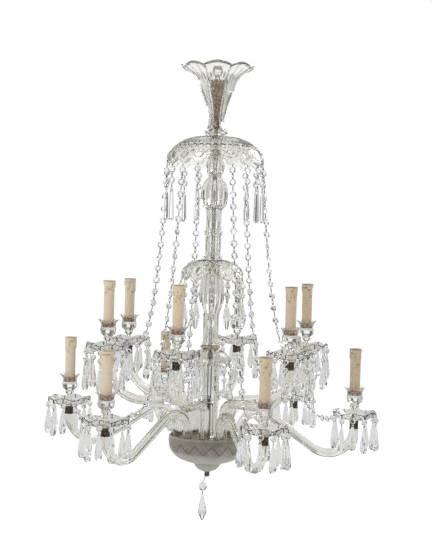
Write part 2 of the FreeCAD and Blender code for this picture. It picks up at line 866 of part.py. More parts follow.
make_canopy("lower_canopy", "lower_hub", "lower_canopy_radius", "lower_canopy_depth",
            SMALL_DOME, SMALL_SCALLOPS, lower_canopy_turn)
make_turning("glass_column", "column", "column_height", "column_radius",
             ((0, 0.85), (0.3, 1), (0.85, 0.96), (1, 0.6)))
make_turning("glass_disc", "disc", "disc_height", "disc_radius", ((0, 0.85), (0.5, 1), (1, 0.85)))
make_turning("lower_vase", "foot_vase", "foot_vase_height", "foot_vase_radius",
             ((0, 0.7), (0.15, 0.95), (0.6, 1), (1, 0.8)))
make_socket_plate()
make_hex_nut("receiver_nut", "sizes.nut_radius", "sizes.nut_height",
             level_text["plate_under"] + " - sizes.nut_height")
make_bowl()
make_bowl_cup()
finial_text = (level_text["plate_under"] + " + sizes.plate_thickness + sizes.bowl_lip_rise - sizes.bowl_depth"
               " - sizes.bowl_cup_height - sizes.finial_height")
make_hex_nut("finial_nut", "sizes.finial_radius", "sizes.finial_height", finial_text)

for tier in ("lower", "upper"):
    arm = make_arm_solid(tier)
    for number in range(ARMS_PER_TIER):
        node(f"{tier}_arm_{number + 1}", placed(arm, arm_placement(tier, number)))

on_every_arm("arm_ferrules", ferrule_solid())
on_every_arm("drip_dishes", dish_solid())
on_every_arm("candle_cups", cup_solid())
on_every_arm("lampholders", lampholder_solid())
on_every_arm("candle_sleeves", candle_sleeve_solid(), BARE_LIGHT)

for tier in ("lower", "upper"):
    drops = []
    for which, _, place in fitting_places():
        if which != tier:
            continue
        for corner in range(1, DISH_CORNERS, 2):
            spot = place.multVec(dish_rim_corner(corner)[0])
            facing = polar(1, 29.0 * corner, 0)
            drops += string_solids(spot, 1, size("small_bead_radius"), size("dish_drop_lead"), PEAR,
                                   size("dish_drop_length"), size("dish_drop_radius"), facing)
    node(f"{tier}_dish_drops", Part.makeCompound(drops))

# Canopy strings: the top canopy's hang as bodies of their own.
SCALLOP_STEP = 360.0 / TOP_SCALLOPS
FIRST_SCALLOP = size("lower_first_angle")
TOP_STRING_PLACES = (-1, -2, -5, -7, -8, -11, -16, -17)
MIDDLE_STRING_PLACES = (0, 2, 4, 6, 7, 8, 9, 10, 11)
LOWER_STRING_PLACES = (0, 2, 4, 6, 8, 10)
HANGERS = []
for number, scallop in enumerate(TOP_STRING_PLACES, 1):
    degrees = FIRST_SCALLOP + SCALLOP_STEP * scallop
    hole = canopy_hole("top_hub", "top_canopy_radius", "top_canopy_depth", degrees) - UP * size("hook_gap")
    solids = string_solids(hole, 2, size("bead_radius"), size("hang_lead"), PRISM,
                           size("prism_length"), size("prism_radius"), polar(1, degrees, 0))
    node(f"prism_string_{number}", Part.makeCompound(solids))
    HANGERS.append((f"prism_string_{number}", hole, degrees))

for label, stack_name, radius_alias, depth_alias, turn, places, length_alias, drop_alias, outline in (
    ("middle_canopy_strings", "middle_hub", "middle_canopy_radius", "middle_canopy_depth", 0.0,
     MIDDLE_STRING_PLACES, "almond_length", "almond_radius", ALMOND),
    ("lower_canopy_strings", "lower_hub", "lower_canopy_radius", "lower_canopy_depth", lower_canopy_turn,
     LOWER_STRING_PLACES, "short_drop_length", "short_drop_radius", PEAR),
):
    solids = []
    for scallop in places:
        degrees = turn + 360.0 * scallop / SMALL_SCALLOPS
        hole = canopy_hole(stack_name, radius_alias, depth_alias, degrees)
        solids += string_solids(hole, 2, size("small_bead_radius"), size("hang_lead"), outline,
                                size(length_alias), size(drop_alias), polar(1, degrees, 0))
    node(label, Part.makeCompound(solids))

# Festoon chains from the top canopy to the drip dishes: the light, the corner of its dish and the slack.
FESTOONS = (
    ("upper", 0, 5, "taut_slack"),
    ("lower", 1, 5, "loose_slack"),
    ("lower", 2, 7, "loose_slack"),
    ("upper", 3, 6, "taut_slack"),
    ("lower", 4, 5, "loose_slack"),
    ("lower", 5, 7, "taut_slack"),
)
for number, (tier, light, corner, slack) in enumerate(FESTOONS, 1):
    degrees = FIRST_SCALLOP + 360.0 * (number - 1) / len(FESTOONS)
    start = canopy_hole("top_hub", "top_canopy_radius", "top_canopy_depth", degrees) - UP * size("hook_gap")
    end = festoon_end(tier, light, corner)
    node(f"festoon_chain_{number}", Part.makeCompound(chain_solids(start, end, size(slack))))
    HANGERS.append((f"festoon_chain_{number}", start, end))

# Short swags between neighbouring lower dishes, left and right.
for label, light_a, light_b in (("swag_right", 0, 1), ("swag_left", 3, 4)):
    start = swag_end("lower", light_a, place_of("lower", light_b).Base)
    end = swag_end("lower", light_b, place_of("lower", light_a).Base)
    node(label, Part.makeCompound(chain_solids(start, end, size("swag_slack"))))
    HANGERS.append((label, start, end))

# Bottom pendant: a bent hook, a cut bead and an almond drop.
hook_tip = V(-size("pendant_hook_side"), 0, finial_under - size("pendant_hook_drop"))
hook_half = 1.2
hook_top = V(-size("rod_radius") / 2, 0, finial_under)
hook_square = regular_ring(hook_half, 0, 4, 45)
hook_rings = [[point + corner for corner in hook_square] for point in (hook_top, hook_tip)]
node("pendant_hook", skin(hook_rings))
bead_top = hook_tip - UP * size("hook_gap")
bead_r = size("pendant_bead_radius")
link_end = bead_top - UP * (2 * bead_r + size("hang_lead") * 2)
pendant_bead = [bead_solid(bead_top - UP * bead_r, bead_r, -UP, V(0, -1, 0)),
                wire_solid(bead_top - UP * (2 * bead_r), link_end)]
node("pendant_bead", Part.makeCompound(pendant_bead))
drop_top = link_end - UP * size("hook_gap")
node("pendant_drop", drop_solid(drop_top, ALMOND, size("pendant_drop_length"), size("pendant_drop_radius")))
HANGERS.append(("pendant_bead", bead_top, "Y"))
HANGERS.append(("pendant_drop", drop_top, "X"))

doc.recompute()
for piece in doc.Objects:
    if {"Invalid", "Error"} & set(piece.State):
        raise RuntimeError(f"{piece.Label}: {piece.State}")
os.makedirs("parts", exist_ok=True)
for piece in nodes:
    if piece.Shape.isNull() or not piece.Shape.isValid():
        raise RuntimeError(f"{piece.Label}: bad shape")
    piece.Shape.exportStep(f"parts/{piece.Label}.step")
print(len(nodes), "nodes")
for name, first, second in HANGERS:
    print(name, [round(c, 4) for c in first], second)
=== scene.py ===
import json
import math
from collections import Counter

import bmesh
import bpy
import numpy as np
from mathutils import Matrix, Vector

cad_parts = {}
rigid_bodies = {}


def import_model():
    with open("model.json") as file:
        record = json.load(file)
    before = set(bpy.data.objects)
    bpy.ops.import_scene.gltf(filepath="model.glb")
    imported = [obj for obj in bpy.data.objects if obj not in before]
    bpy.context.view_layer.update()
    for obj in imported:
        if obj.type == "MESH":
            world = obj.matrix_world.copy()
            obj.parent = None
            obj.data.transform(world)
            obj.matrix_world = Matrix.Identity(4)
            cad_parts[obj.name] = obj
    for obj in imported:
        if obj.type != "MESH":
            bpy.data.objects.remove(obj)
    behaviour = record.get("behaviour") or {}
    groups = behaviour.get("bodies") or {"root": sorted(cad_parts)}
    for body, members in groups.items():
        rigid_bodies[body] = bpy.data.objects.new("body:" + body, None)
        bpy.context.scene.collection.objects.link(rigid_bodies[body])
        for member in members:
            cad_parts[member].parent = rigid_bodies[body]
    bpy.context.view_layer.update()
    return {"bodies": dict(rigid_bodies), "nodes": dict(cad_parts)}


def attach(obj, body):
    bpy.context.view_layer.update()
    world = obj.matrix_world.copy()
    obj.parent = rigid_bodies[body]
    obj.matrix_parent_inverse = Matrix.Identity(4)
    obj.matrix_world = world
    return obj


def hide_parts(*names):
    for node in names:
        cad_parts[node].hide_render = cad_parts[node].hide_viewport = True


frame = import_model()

# ------------ The view and the studio
# The chandelier is seen level from about three metres, through a long lens whose frame leans a little and
# is shifted down. It hangs in a white studio: pale floor, soft light all round, and grey cards standing
# between the lights, which give cut glass its dark edges.
MM = 0.001
VIEW_DISTANCE = 2.8
VIEW_HEIGHT = -0.413
FRAME_WIDTH, FRAME_HEIGHT = 432, 542
FOCAL_PIXELS = 1174.0
AXIS_PIXEL = 213.1
HORIZON_PIXEL = 245.0
LEAN = math.radians(-1.55)

camera_data = bpy.data.cameras.new("viewer")
camera_data.sensor_fit = "VERTICAL"
camera_data.sensor_height = 36.0
camera_data.lens = FOCAL_PIXELS * camera_data.sensor_height / FRAME_HEIGHT
camera_data.shift_x = (FRAME_WIDTH / 2 - AXIS_PIXEL) / FRAME_HEIGHT
camera_data.shift_y = (HORIZON_PIXEL - FRAME_HEIGHT / 2) / FRAME_HEIGHT
camera = bpy.data.objects.new("viewer", camera_data)
camera.location = (0, -VIEW_DISTANCE, VIEW_HEIGHT)
camera.rotation_euler = (math.pi / 2, LEAN, 0)
bpy.context.collection.objects.link(camera)
bpy.context.scene.camera = camera
bpy.context.scene.view_settings.view_transform = "Standard"

GLASS_BOUNCES = 28
GLOSSY_BOUNCES = 12
cycles = bpy.context.scene.cycles
cycles.max_bounces = cycles.transmission_bounces = cycles.transparent_max_bounces = GLASS_BOUNCES
cycles.glossy_bounces = GLOSSY_BOUNCES

studio = bpy.data.worlds.new("studio")
bpy.context.scene.world = studio
studio.use_nodes = True
tree = studio.node_tree
tree.nodes.clear()


def feed(tree, socket, value):
    """Sets a socket to a plain value, or links it to another node's output."""
    if isinstance(value, bpy.types.NodeSocket):
        tree.links.new(value, socket)
    else:
        socket.default_value = value


def math_node(tree, operation, *values, clamp=False):
    """A Math node on links or plain numbers, and its output."""
    node = tree.nodes.new("ShaderNodeMath")
    node.operation = operation
    node.use_clamp = clamp
    for socket, value in zip(node.inputs, values):
        feed(tree, socket, value)
    return node.outputs[0]


def mixed(tree, share, first, second, kind="RGBA"):
    """A Mix node from the first to the second link, colour or number, and its output."""
    node = tree.nodes.new("ShaderNodeMix")
    node.data_type = kind
    for name, value in (("Factor", share), ("A", first), ("B", second)):
        feed(tree, node.inputs[name], value)
    return node.outputs["Result"]


CARDS = 8
CARD_EDGE, CARD_WIDER = 1.5, 0.1
CARD_TOP, CARD_GREY = 0.8, 0.88
BANDS = ((0.40, 0.15), (0.84, 0.10))
BAND_EDGE, BAND_GREY = 14.0, 0.8
SOFT_LIGHT = 0.8
direction = tree.nodes.new("ShaderNodeSeparateXYZ")
tree.links.new(tree.nodes.new("ShaderNodeTexCoord").outputs["Generated"], direction.inputs[0])
bearing = math_node(tree, "ARCTAN2", direction.outputs["Y"], direction.outputs["X"])
swing = math_node(tree, "COSINE", math_node(tree, "MULTIPLY", bearing, CARDS))
card = math_node(tree, "MULTIPLY_ADD", swing, -CARD_EDGE, CARD_WIDER, clamp=True)
low = math_node(tree, "LESS_THAN", math_node(tree, "ABSOLUTE", direction.outputs["Z"]), CARD_TOP)
shade = math_node(tree, "MULTIPLY", math_node(tree, "MULTIPLY", card, low), CARD_GREY)
for middle, half in BANDS:
    band = math_node(tree, "ABSOLUTE", math_node(tree, "SUBTRACT", direction.outputs["Z"], middle))
    band = math_node(tree, "MULTIPLY", math_node(tree, "SUBTRACT", half, band), BAND_EDGE, clamp=True)
    shade = math_node(tree, "MAXIMUM", shade, math_node(tree, "MULTIPLY", band, BAND_GREY))
paths = tree.nodes.new("ShaderNodeLightPath")
seen_directly = paths.outputs["Is Camera Ray"]
glass_ray = math_node(tree, "MAXIMUM", paths.outputs["Is Glossy Ray"], paths.outputs["Is Transmission Ray"])
glass_ray = math_node(tree, "MULTIPLY", glass_ray, math_node(tree, "SUBTRACT", 1.0, seen_directly))
around_glass = math_node(tree, "SUBTRACT", 1.0, shade)
background = tree.nodes.new("ShaderNodeBackground")
background.inputs["Color"].default_value = (1, 1, 1, 1)
open_air = math_node(tree, "MAXIMUM", seen_directly, SOFT_LIGHT)
tree.links.new(mixed(tree, glass_ray, open_air, around_glass, "FLOAT"), background.inputs["Strength"])
tree.links.new(background.outputs[0], tree.nodes.new("ShaderNodeOutputWorld").inputs["Surface"])

FLOOR_HEIGHT = -1.55
FLOOR_GLOW = 0.4
bpy.ops.object.select_all(action="DESELECT")
bpy.ops.mesh.primitive_circle_add(vertices=64, radius=30.0, fill_type="NGON", location=(0, 0, FLOOR_HEIGHT))
floor = bpy.context.object
floor.name = "studio_floor"
bpy.ops.object.transform_apply(location=True)
floor_paint = bpy.data.materials.new("floor_paint")
floor_paint.use_nodes = True
tree = floor_paint.node_tree
tree.nodes.clear()
pale = tree.nodes.new("ShaderNodeBsdfDiffuse")
pale.inputs["Color"].default_value = (0.8, 0.8, 0.8, 1)
lift = tree.nodes.new("ShaderNodeEmission")
paths = tree.nodes.new("ShaderNodeLightPath")
glow = math_node(tree, "MULTIPLY", paths.outputs["Is Camera Ray"], FLOOR_GLOW)
tree.links.new(glow, lift.inputs["Strength"])
both = tree.nodes.new("ShaderNodeAddShader")
tree.links.new(pale.outputs[0], both.inputs[0])
tree.links.new(lift.outputs[0], both.inputs[1])
tree.links.new(both.outputs[0], tree.nodes.new("ShaderNodeOutputMaterial").inputs["Surface"])
floor.data.materials.append(floor_paint)

for name, place, size_m, power in (("key_light", (-1.6, -2.2, 1.2), 1.4, 26),
                                   ("rim_light", (1.8, 1.4, 0.9), 1.2, 18)):
    lamp_data = bpy.data.lights.new(name, "AREA")
    lamp_data.size = size_m
    lamp_data.energy = power
    lamp = bpy.data.objects.new(name, lamp_data)
    lamp.location = place
    lamp.rotation_euler = (Vector((0, 0, -0.5)) - Vector(place)).to_track_quat("-Z", "Y").to_euler()
    bpy.context.collection.objects.link(lamp)

# ------------ Trumpet vase on top
# Thick pressed glass, eight broad petals on a slender waist, standing on the collar and open at the top.
# Turned ring by ring, its petals drawn out and up, with a step where the petals leave the waist.


def ring_start(name, sides, radius, height):
    """A new piece that starts as a ring of corners, left in edit mode with the ring selected."""
    bpy.ops.object.select_all(action="DESELECT")
    bpy.ops.mesh.primitive_circle_add(vertices=sides, radius=radius, location=(0, 0, height))
    piece = bpy.context.object
    piece.name = piece.data.name = name
    bpy.ops.object.transform_apply(location=True)
    bpy.ops.object.mode_set(mode="EDIT")
    bpy.ops.mesh.select_mode(type="VERT")
    return piece


def selected_corners():
    """The numbers of the selected corners of the piece in edit mode."""
    mesh = bmesh.from_edit_mesh(bpy.context.object.data)
    return [v.index for v in mesh.verts if v.select]


def select_corners(picked):
    """Selects these corners and no others."""
    bpy.ops.mesh.select_all(action="DESELECT")
    mesh = bmesh.from_edit_mesh(bpy.context.object.data)
    mesh.verts.ensure_lookup_table()
    for index in picked:
        mesh.verts[index].select_set(True)
    mesh.select_flush_mode()


def round_wave(share):
    """Soft lobes: 1 on the lobe's middle, -1 between two lobes."""
    return math.cos(2 * math.pi * share)


def flute_wave(share):
    """Hollow flutes between sharp ridges: 1 on the ridge, -1 in the flute."""
    return 1 - 2 * abs(math.sin(math.pi * share))


def ring_shape(lobes, radius, height, swing, rise, wave, rise_wave=None):
    """Scales and lifts the selected ring's corners to a lobed ring of this radius and height."""
    rise_wave = rise_wave or wave
    ring = selected_corners()
    mesh = bmesh.from_edit_mesh(bpy.context.object.data)
    mesh.verts.ensure_lookup_table()
    groups = {}
    for index in ring:
        x, y, z = mesh.verts[index].co
        share = (math.atan2(y, x) / (2 * math.pi) * lobes) % 1.0 if lobes else 0.0
        share = round(min(share, 1 - share), 3)
        groups.setdefault(share, []).append((index, math.hypot(x, y), z))
    for share, corners in groups.items():
        out, up = (wave(share), rise_wave(share)) if lobes else (0.0, 0.0)
        _, now, level_now = corners[0]
        grow = (radius + swing * out) / now
        select_corners([index for index, _, _ in corners])
        bpy.ops.transform.resize(value=(grow, grow, 1), center_override=(0, 0, 0))
        bpy.ops.transform.translate(value=(0, 0, height + rise * up - level_now))
    select_corners(ring)


def turned(name, sides, rings, lobes=0, wave=round_wave, rise_wave=None, ends="joined"):
    """A piece turned ring by ring from (radius, height, swing, rise) in millimetres.

    Its ends are joined to each other, as in a pipe, or else left flat or drawn to a point.
    """
    rings = [tuple(MM * value for value in (*ring, 0, 0)[:4]) for ring in rings]
    piece = ring_start(name, sides, rings[0][0], rings[0][1])
    whole = selected_corners()
    ring_shape(lobes, *rings[0], wave, rise_wave)
    for ring in rings[1:]:
        bpy.ops.mesh.extrude_region_move()
        ring_shape(lobes, *ring, wave, rise_wave)
    last = selected_corners()
    if ends == "joined":
        select_corners(whole + last)
        bpy.ops.mesh.bridge_edge_loops()
    else:
        for ring in (whole, last):
            select_corners(ring)
            bpy.ops.mesh.edge_face_add()
            if ends == "point":
                bpy.ops.mesh.poke()
    bpy.ops.mesh.select_all(action="SELECT")
    bpy.ops.mesh.normals_make_consistent(inside=False)
    bpy.ops.object.mode_set(mode="OBJECT")
    return piece


SHARP = 24


def finish_with(piece, bevel=0.0, smooth=35.0):
    """Eases the sharp edges and shades the piece smooth up to an angle."""
    bpy.ops.object.select_all(action="DESELECT")
    piece.select_set(True)
    bpy.context.view_layer.objects.active = piece
    if bevel:
        edge = piece.modifiers.new("eased_edges", "BEVEL")
        edge.width = bevel * MM
        edge.segments = 2
        edge.limit_method = "ANGLE"
        edge.angle_limit = math.radians(SHARP)
        bpy.ops.object.modifier_apply(modifier=edge.name)
    bpy.ops.object.shade_smooth_by_angle(angle=math.radians(smooth))


def surface_drift():
    """Node group: slow waves and fine specks of an old polished surface, for its height and tone."""
    group = bpy.data.node_groups.new("surface_drift", "ShaderNodeTree")
    for way, names in (("INPUT", ("Wave Size", "Speck Size")), ("OUTPUT", ("Height", "Specks"))):
        for name in names:
            group.interface.new_socket(name=name, in_out=way, socket_type="NodeSocketFloat")
    enter = group.nodes.new("NodeGroupInput")
    leave = group.nodes.new("NodeGroupOutput")
    place = group.nodes.new("ShaderNodeTexCoord")
    for size_name, detail, result in (("Wave Size", 2.0, "Height"), ("Speck Size", 6.0, "Specks")):
        texture = group.nodes.new("ShaderNodeTexNoise")
        texture.inputs["Detail"].default_value = detail
        group.links.new(place.outputs["Object"], texture.inputs["Vector"])
        group.links.new(enter.outputs[size_name], texture.inputs["Scale"])
        group.links.new(texture.outputs["Fac"], leave.inputs[result])
    return group


DRIFT = surface_drift()


def new_finish(name, wave_size, speck_size, depth):
    """A material with the surface drift driving its bump; gives the material, its shader and the drift."""
    material = bpy.data.materials.new(name)
    material.use_nodes = True
    tree = material.node_tree
    shader = tree.nodes["Principled BSDF"]
    drift = tree.nodes.new("ShaderNodeGroup")
    drift.node_tree = DRIFT
    drift.inputs["Wave Size"].default_value = wave_size
    drift.inputs["Speck Size"].default_value = speck_size
    bump = tree.nodes.new("ShaderNodeBump")
    bump.inputs["Strength"].default_value = 1.0
    bump.inputs["Distance"].default_value = depth
    tree.links.new(drift.outputs["Height"], bump.inputs["Height"])
    tree.links.new(bump.outputs["Normal"], shader.inputs["Normal"])
    return material, shader, drift


def ramp_between(material, value, stops, target):
    """Colours a value through a ramp of (place, colour) stops."""
    tree = material.node_tree
    ramp = tree.nodes.new("ShaderNodeValToRGB")
    while len(ramp.color_ramp.elements) < len(stops):
        ramp.color_ramp.elements.new(0.5)
    for element, (place, colour) in zip(ramp.color_ramp.elements, stops):
        element.position = place
        element.color = (*colour, 1)
    tree.links.new(value, ramp.inputs["Fac"])
    tree.links.new(ramp.outputs["Color"], target)


GLASS_SPECKS = 420.0


def make_glass(name, tint, roughness, wave_size, depth, ior=1.5):
    """Clear glass: its tone drifts a little, and its surface waves as pressed glass does."""
    material, shader, drift = new_finish(name, wave_size, GLASS_SPECKS, depth)
    shader.inputs["Transmission Weight"].default_value = 1.0
    shader.inputs["IOR"].default_value = ior
    shader.inputs["Roughness"].default_value = roughness
    stops = ((0.35, tuple(c * 0.97 for c in tint)), (0.65, tuple(min(1.0, c * 1.02) for c in tint)))
    ramp_between(material, drift.outputs["Specks"], stops, shader.inputs["Base Color"])
    return material


PRESSED_GLASS = make_glass("pressed_glass", (0.93, 0.923, 0.885), 0.02, 45.0, 0.0006)


def petal_wave(share):
    """Broad petals, slightly pointed, with narrow notches between them."""
    return 1 - 2 * (2 * min(share, 0.5)) ** 1.6


def leaf_wave(share):
    """A petal's back: its midrib, two hollows and the rounded edges that meet in a groove."""
    return 0.45 * math.cos(2 * math.pi * share) + 0.55 * math.cos(6 * math.pi * share)


def fitted(piece, material, node_name, body="column"):
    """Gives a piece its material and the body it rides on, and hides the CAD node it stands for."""
    piece.data.materials.append(material)
    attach(piece, body)
    if node_name:
        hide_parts(node_name)
    return piece


VASE_WALL = 3.8
VASE_STEP = (-50, -44)
vase_outside = [
    (22.7, -138, 0, 0), (21.5, -134, 0.4, 0), (18.3, -125, 0.9, 0), (17.9, -112, 1.3, 0),
    (20.6, -97, 1.5, 0), (23.4, -83.6, 1.6, 0), (31.5, -60, 1.8, 0), (35.0, -48.6, 2.0, 0),
    (37.6, -47.4, 2.2, 0), (38.6, -45.2, 2.2, 0), (39.9, -36, 2.0, 0), (46.6, -20, 2.0, 0.6),
    (54.8, -10, 1.8, 1.4), (64.6, -1.5, 1.6, 2.4), (77.4, 7.0, 1.6, 3.4), (87.0, 11.2, 1.8, 4.2)]
vase_inside = [(radius - VASE_WALL, height + (0.6 if height > -8 else 0.0), 0.2 * swing, rise)
               for radius, height, swing, rise in reversed(vase_outside[:-1])
               if not VASE_STEP[0] < height < VASE_STEP[1]]
vase = turned("trumpet_vase", 96, vase_outside + [(86.2, 12.3, 1.8, 4.2)] + vase_inside,
              lobes=8, wave=leaf_wave, rise_wave=petal_wave)
finish_with(vase, bevel=0.3)
fitted(vase, PRESSED_GLASS, "top_vase")

# ------------ Hanging rod, nuts and socket plate
# A nickelled steel rod carries every piece, with a forged eye at its top and a hexagon nut under the
# plate. Its lower length, in the glass column, is rusted. The plate is aged brass: a disc with twelve
# sockets for the arms.
DULLED = 0.25


def make_metal(name, deep, pale, roughness, speck_size):
    """Aged metal: darker and duller in its specks, brighter between them."""
    material, shader, drift = new_finish(name, 60.0, speck_size, 0.0002)
    shader.inputs["Metallic"].default_value = 1.0
    stops = ((0.38, deep), (0.62, pale))
    ramp_between(material, drift.outputs["Specks"], stops, shader.inputs["Base Color"])
    tree = material.node_tree
    dull = math_node(tree, "MULTIPLY_ADD", drift.outputs["Specks"], -DULLED, roughness + DULLED / 2)
    tree.links.new(dull, shader.inputs["Roughness"])
    return material


STEEL = make_metal("nickelled_steel", (0.42, 0.40, 0.36), (0.66, 0.64, 0.59), 0.34, 300.0)
AGED_BRASS = make_metal("aged_brass", (0.24, 0.205, 0.15), (0.52, 0.455, 0.35), 0.42, 260.0)


def own_axes(tree):
    """X, Y and Z of a point on the piece, as outputs by name."""
    axes = tree.nodes.new("ShaderNodeSeparateXYZ")
    tree.links.new(tree.nodes.new("ShaderNodeTexCoord").outputs["Object"], axes.inputs[0])
    return axes.outputs


def refinish(node_name, material):
    """Gives a CAD piece its finish."""
    mesh = frame["nodes"][node_name].data
    mesh.materials.clear()
    mesh.materials.append(material)


RUST_TOP = -0.66
RUST = (0.17, 0.135, 0.10, 1)
tree = STEEL.node_tree
rusted = math_node(tree, "LESS_THAN", own_axes(tree)["Z"], RUST_TOP)
plated = tree.nodes["Principled BSDF"].inputs["Base Color"]
tree.links.new(mixed(tree, rusted, plated.links[0].from_socket, RUST), plated)
for node_name in ("suspension_rod", "receiver_nut", "pendant_hook"):
    refinish(node_name, STEEL)
refinish("arm_receiver", AGED_BRASS)

# ------------ Metal sleeve in the vase
# A tapered tube of brown bronze round the rod, seen through the glass of the vase. It is turned with a
# small collar at its mouth, and is mottled, dull and bright.
sleeve = turned("bronze_sleeve_tube", 32, [
    (5.6, -137.8), (9.3, -137.8), (9.4, -98), (9.8, -96), (11.0, -90), (13.2, -37), (13.8, -34),
    (13.9, -19.8), (13.4, -19.3), (12.2, -19.4), (11.4, -36), (7.6, -92), (5.6, -98)])
finish_with(sleeve, bevel=0.3)
BRONZE = make_metal("brown_bronze", (0.24, 0.165, 0.105), (0.58, 0.46, 0.34), 0.5, 160.0)
fitted(sleeve, BRONZE, "bronze_sleeve")

# ------------ Glass turnings threaded on the rod
# From the top: the collar under the vase, the ball spacer, the onion with its panels, the ringed tube, the
# tulip, the column, a thin disc and the lower vase. Each is pressed glass, bored for the rod, its panels
# cut as hollow flutes between sharp ridges.
BORE = 5.5
FLUTE, SHALLOW_FLUTE = 0.075, 0.02
CUT_GLASS = make_glass("cut_glass", (0.935, 0.93, 0.895), 0.015, 60.0, 0.0004)
turnings = {
    "collar_ring": ("trumpet_collar", 14, [
        (22.4, -138.2), (26.0, -140.5), (27.3, -144), (26.4, -148), (24.6, -150.5), (25.6, -152.8)]),
    "ball_spacer_glass": ("ball_spacer", 12, [
        (13.3, -158.2), (13.6, -200), (14.2, -206), (18.5, -210), (21.8, -216), (22.3, -226),
        (21.8, -238), (18.5, -244), (15.5, -247), (15.8, -250.8)]),
    "onion_glass": ("onion_baluster", 12, [
        (16.2, -251.2), (22.5, -258), (28.0, -267), (31.6, -279), (32.6, -291), (31.8, -303),
        (29.6, -316), (27.2, -321), (22.5, -324.5), (20.2, -330.8)]),
    "ringed_tube_glass": ("ringed_tube", 12, [
        (18.2, -331.2), (18.2, -372), (18.4, -378), (22.4, -380.5), (22.6, -383), (20.4, -384.6),
        (22.4, -386.4), (22.2, -388.5), (18.4, -391), (18.2, -436), (18.6, -438.5), (22.6, -440.5),
        (22.7, -445.8)]),
    "tulip_glass": ("tulip_baluster", 12, [
        (16.6, -451.2), (20.4, -470), (25.6, -490), (28.9, -510), (30.2, -530), (29.2, -545),
        (25.0, -560), (20.6, -572), (18.6, -582), (18.2, -636), (18.4, -643), (20.4, -647),
        (20.6, -650.8)]),
    "column_glass": ("glass_column", 12, [
        (20.2, -665.7), (22.4, -685), (23.8, -703), (23.6, -740), (22.8, -768), (20.0, -778),
        (14.6, -786.3)]),
    "disc_glass": ("glass_disc", 6, [(13.4, -786.7), (15.6, -788.2), (15.8, -789.4), (13.6, -791.3)]),
    "lower_vase_glass": ("lower_vase", 12, [
        (13.8, -791.7), (17.2, -797), (18.9, -804), (19.7, -822), (19.8, -842), (18.4, -860),
        (15.8, -871.3)]),
}
for name, (node_name, flutes, outline) in turnings.items():
    outside = []
    for place, (radius, height) in enumerate(outline):
        plain = place in (0, len(outline) - 1) or node_name in ("trumpet_collar", "glass_disc")
        depth = 0.0 if plain else (FLUTE if radius > 15 else SHALLOW_FLUTE) * radius
        outside.append((radius - depth, height, depth, 0))
    rings = [(BORE, outline[0][1])] + outside + [(BORE, outline[-1][1])]
    piece = turned(name, 8 * flutes, rings, lobes=flutes, wave=flute_wave)
    finish_with(piece, bevel=0.35)
    fitted(piece, CUT_GLASS, node_name)

# ------------ Gilt washer
# A turned and gilded brass washer between the tulip and the lower canopy, threaded on the rod, its edge
# pressed in small gadroons.
GILT = make_metal("old_gilding", (0.36, 0.27, 0.18), (0.72, 0.62, 0.48), 0.4, 220.0)
washer = turned("gilt_washer_turned", 144, [
    (BORE, -651.1), (18.0, -651.1), (20.6, -651.9, 0.3), (22.6, -653.4, 0.6), (23.3, -655.6, 0.7),
    (22.6, -657.9, 0.6), (20.6, -659.4, 0.3), (18.0, -660.2), (BORE, -660.2)], lobes=24)
finish_with(washer)
fitted(washer, GILT, "gilt_washer")

# ------------ Three canopies
# Pressed glass domes with scalloped rims, from which the strings hang. A row of oval lenses is pressed
# above each rim, and a row of small arcs on the shoulders of the upper two.
HUB_RADIUS = 21.5
HUB_HEIGHT = 4.8


def canopy_wave(share):
    """Three ribs to every scallop."""
    return math.cos(6 * math.pi * share)


def canopy(name, node_name, top, scallops, turn, outline, wall):
    """A dome with its wall and its flat hub, from (radius, depth, rib, scallop) rings."""
    outside = [(BORE + 0.2, top - 0.2), (HUB_RADIUS, top - 0.2)]
    outside += [(radius, top - depth, rib, rise) for radius, depth, rib, rise in outline]
    inside = []
    for radius, depth, rib, rise in reversed(outline):
        inner = max(radius - wall * min(1.0, depth / 20 + 0.25), HUB_RADIUS + 0.5)
        inside.append((inner, top - depth - wall * max(0.0, 1 - depth / 30), 0, rise))
    rings = outside + inside + [(HUB_RADIUS, top - HUB_HEIGHT), (BORE + 0.2, top - HUB_HEIGHT)]
    dome = turned(name, scallops * 12, rings, lobes=scallops, wave=canopy_wave, rise_wave=round_wave)
    dome.data.transform(Matrix.Rotation(math.radians(turn), 4, "Z"))
    return fitted(dome, PRESSED_GLASS, node_name)


def copy_to(piece, name, place):
    """A copy of a piece with its own mesh, moved in its mesh."""
    twin = bpy.data.objects.new(name, piece.data.copy())
    twin.data.name = name
    twin.data.transform(place)
    bpy.context.collection.objects.link(twin)
    return twin


def merged(pieces, name):
    """Joins pieces into one mesh."""
    bpy.ops.object.select_all(action="DESELECT")
    for piece in pieces:
        piece.select_set(True)
    bpy.context.view_layer.objects.active = pieces[0]
    if len(pieces) > 1:
        bpy.ops.object.join()
    whole = bpy.context.object
    whole.name = whole.data.name = name
    return whole


def pressed_row(dome, count, first, radius, height, tilt, relief):
    """Joins a row of relief shapes, each modelled at the origin facing +X, to the outside of a dome."""
    out = Matrix.Translation((radius * MM, 0, height * MM))
    tilted = Matrix.Rotation(math.radians(-tilt), 4, "Y")
    shapes = []
    for number in range(count):
        around = Matrix.Rotation(math.radians(first + 360 * number / count), 4, "Z")
        shapes.append(copy_to(relief, "relief", around @ out @ tilted))
    row = merged(shapes, "row")
    union = dome.modifiers.new("pressed_row", "BOOLEAN")
    union.operation = "UNION"
    union.object = row
    bpy.context.view_layer.objects.active = dome
    bpy.ops.object.modifier_apply(modifier=union.name)
    bpy.data.objects.remove(row)


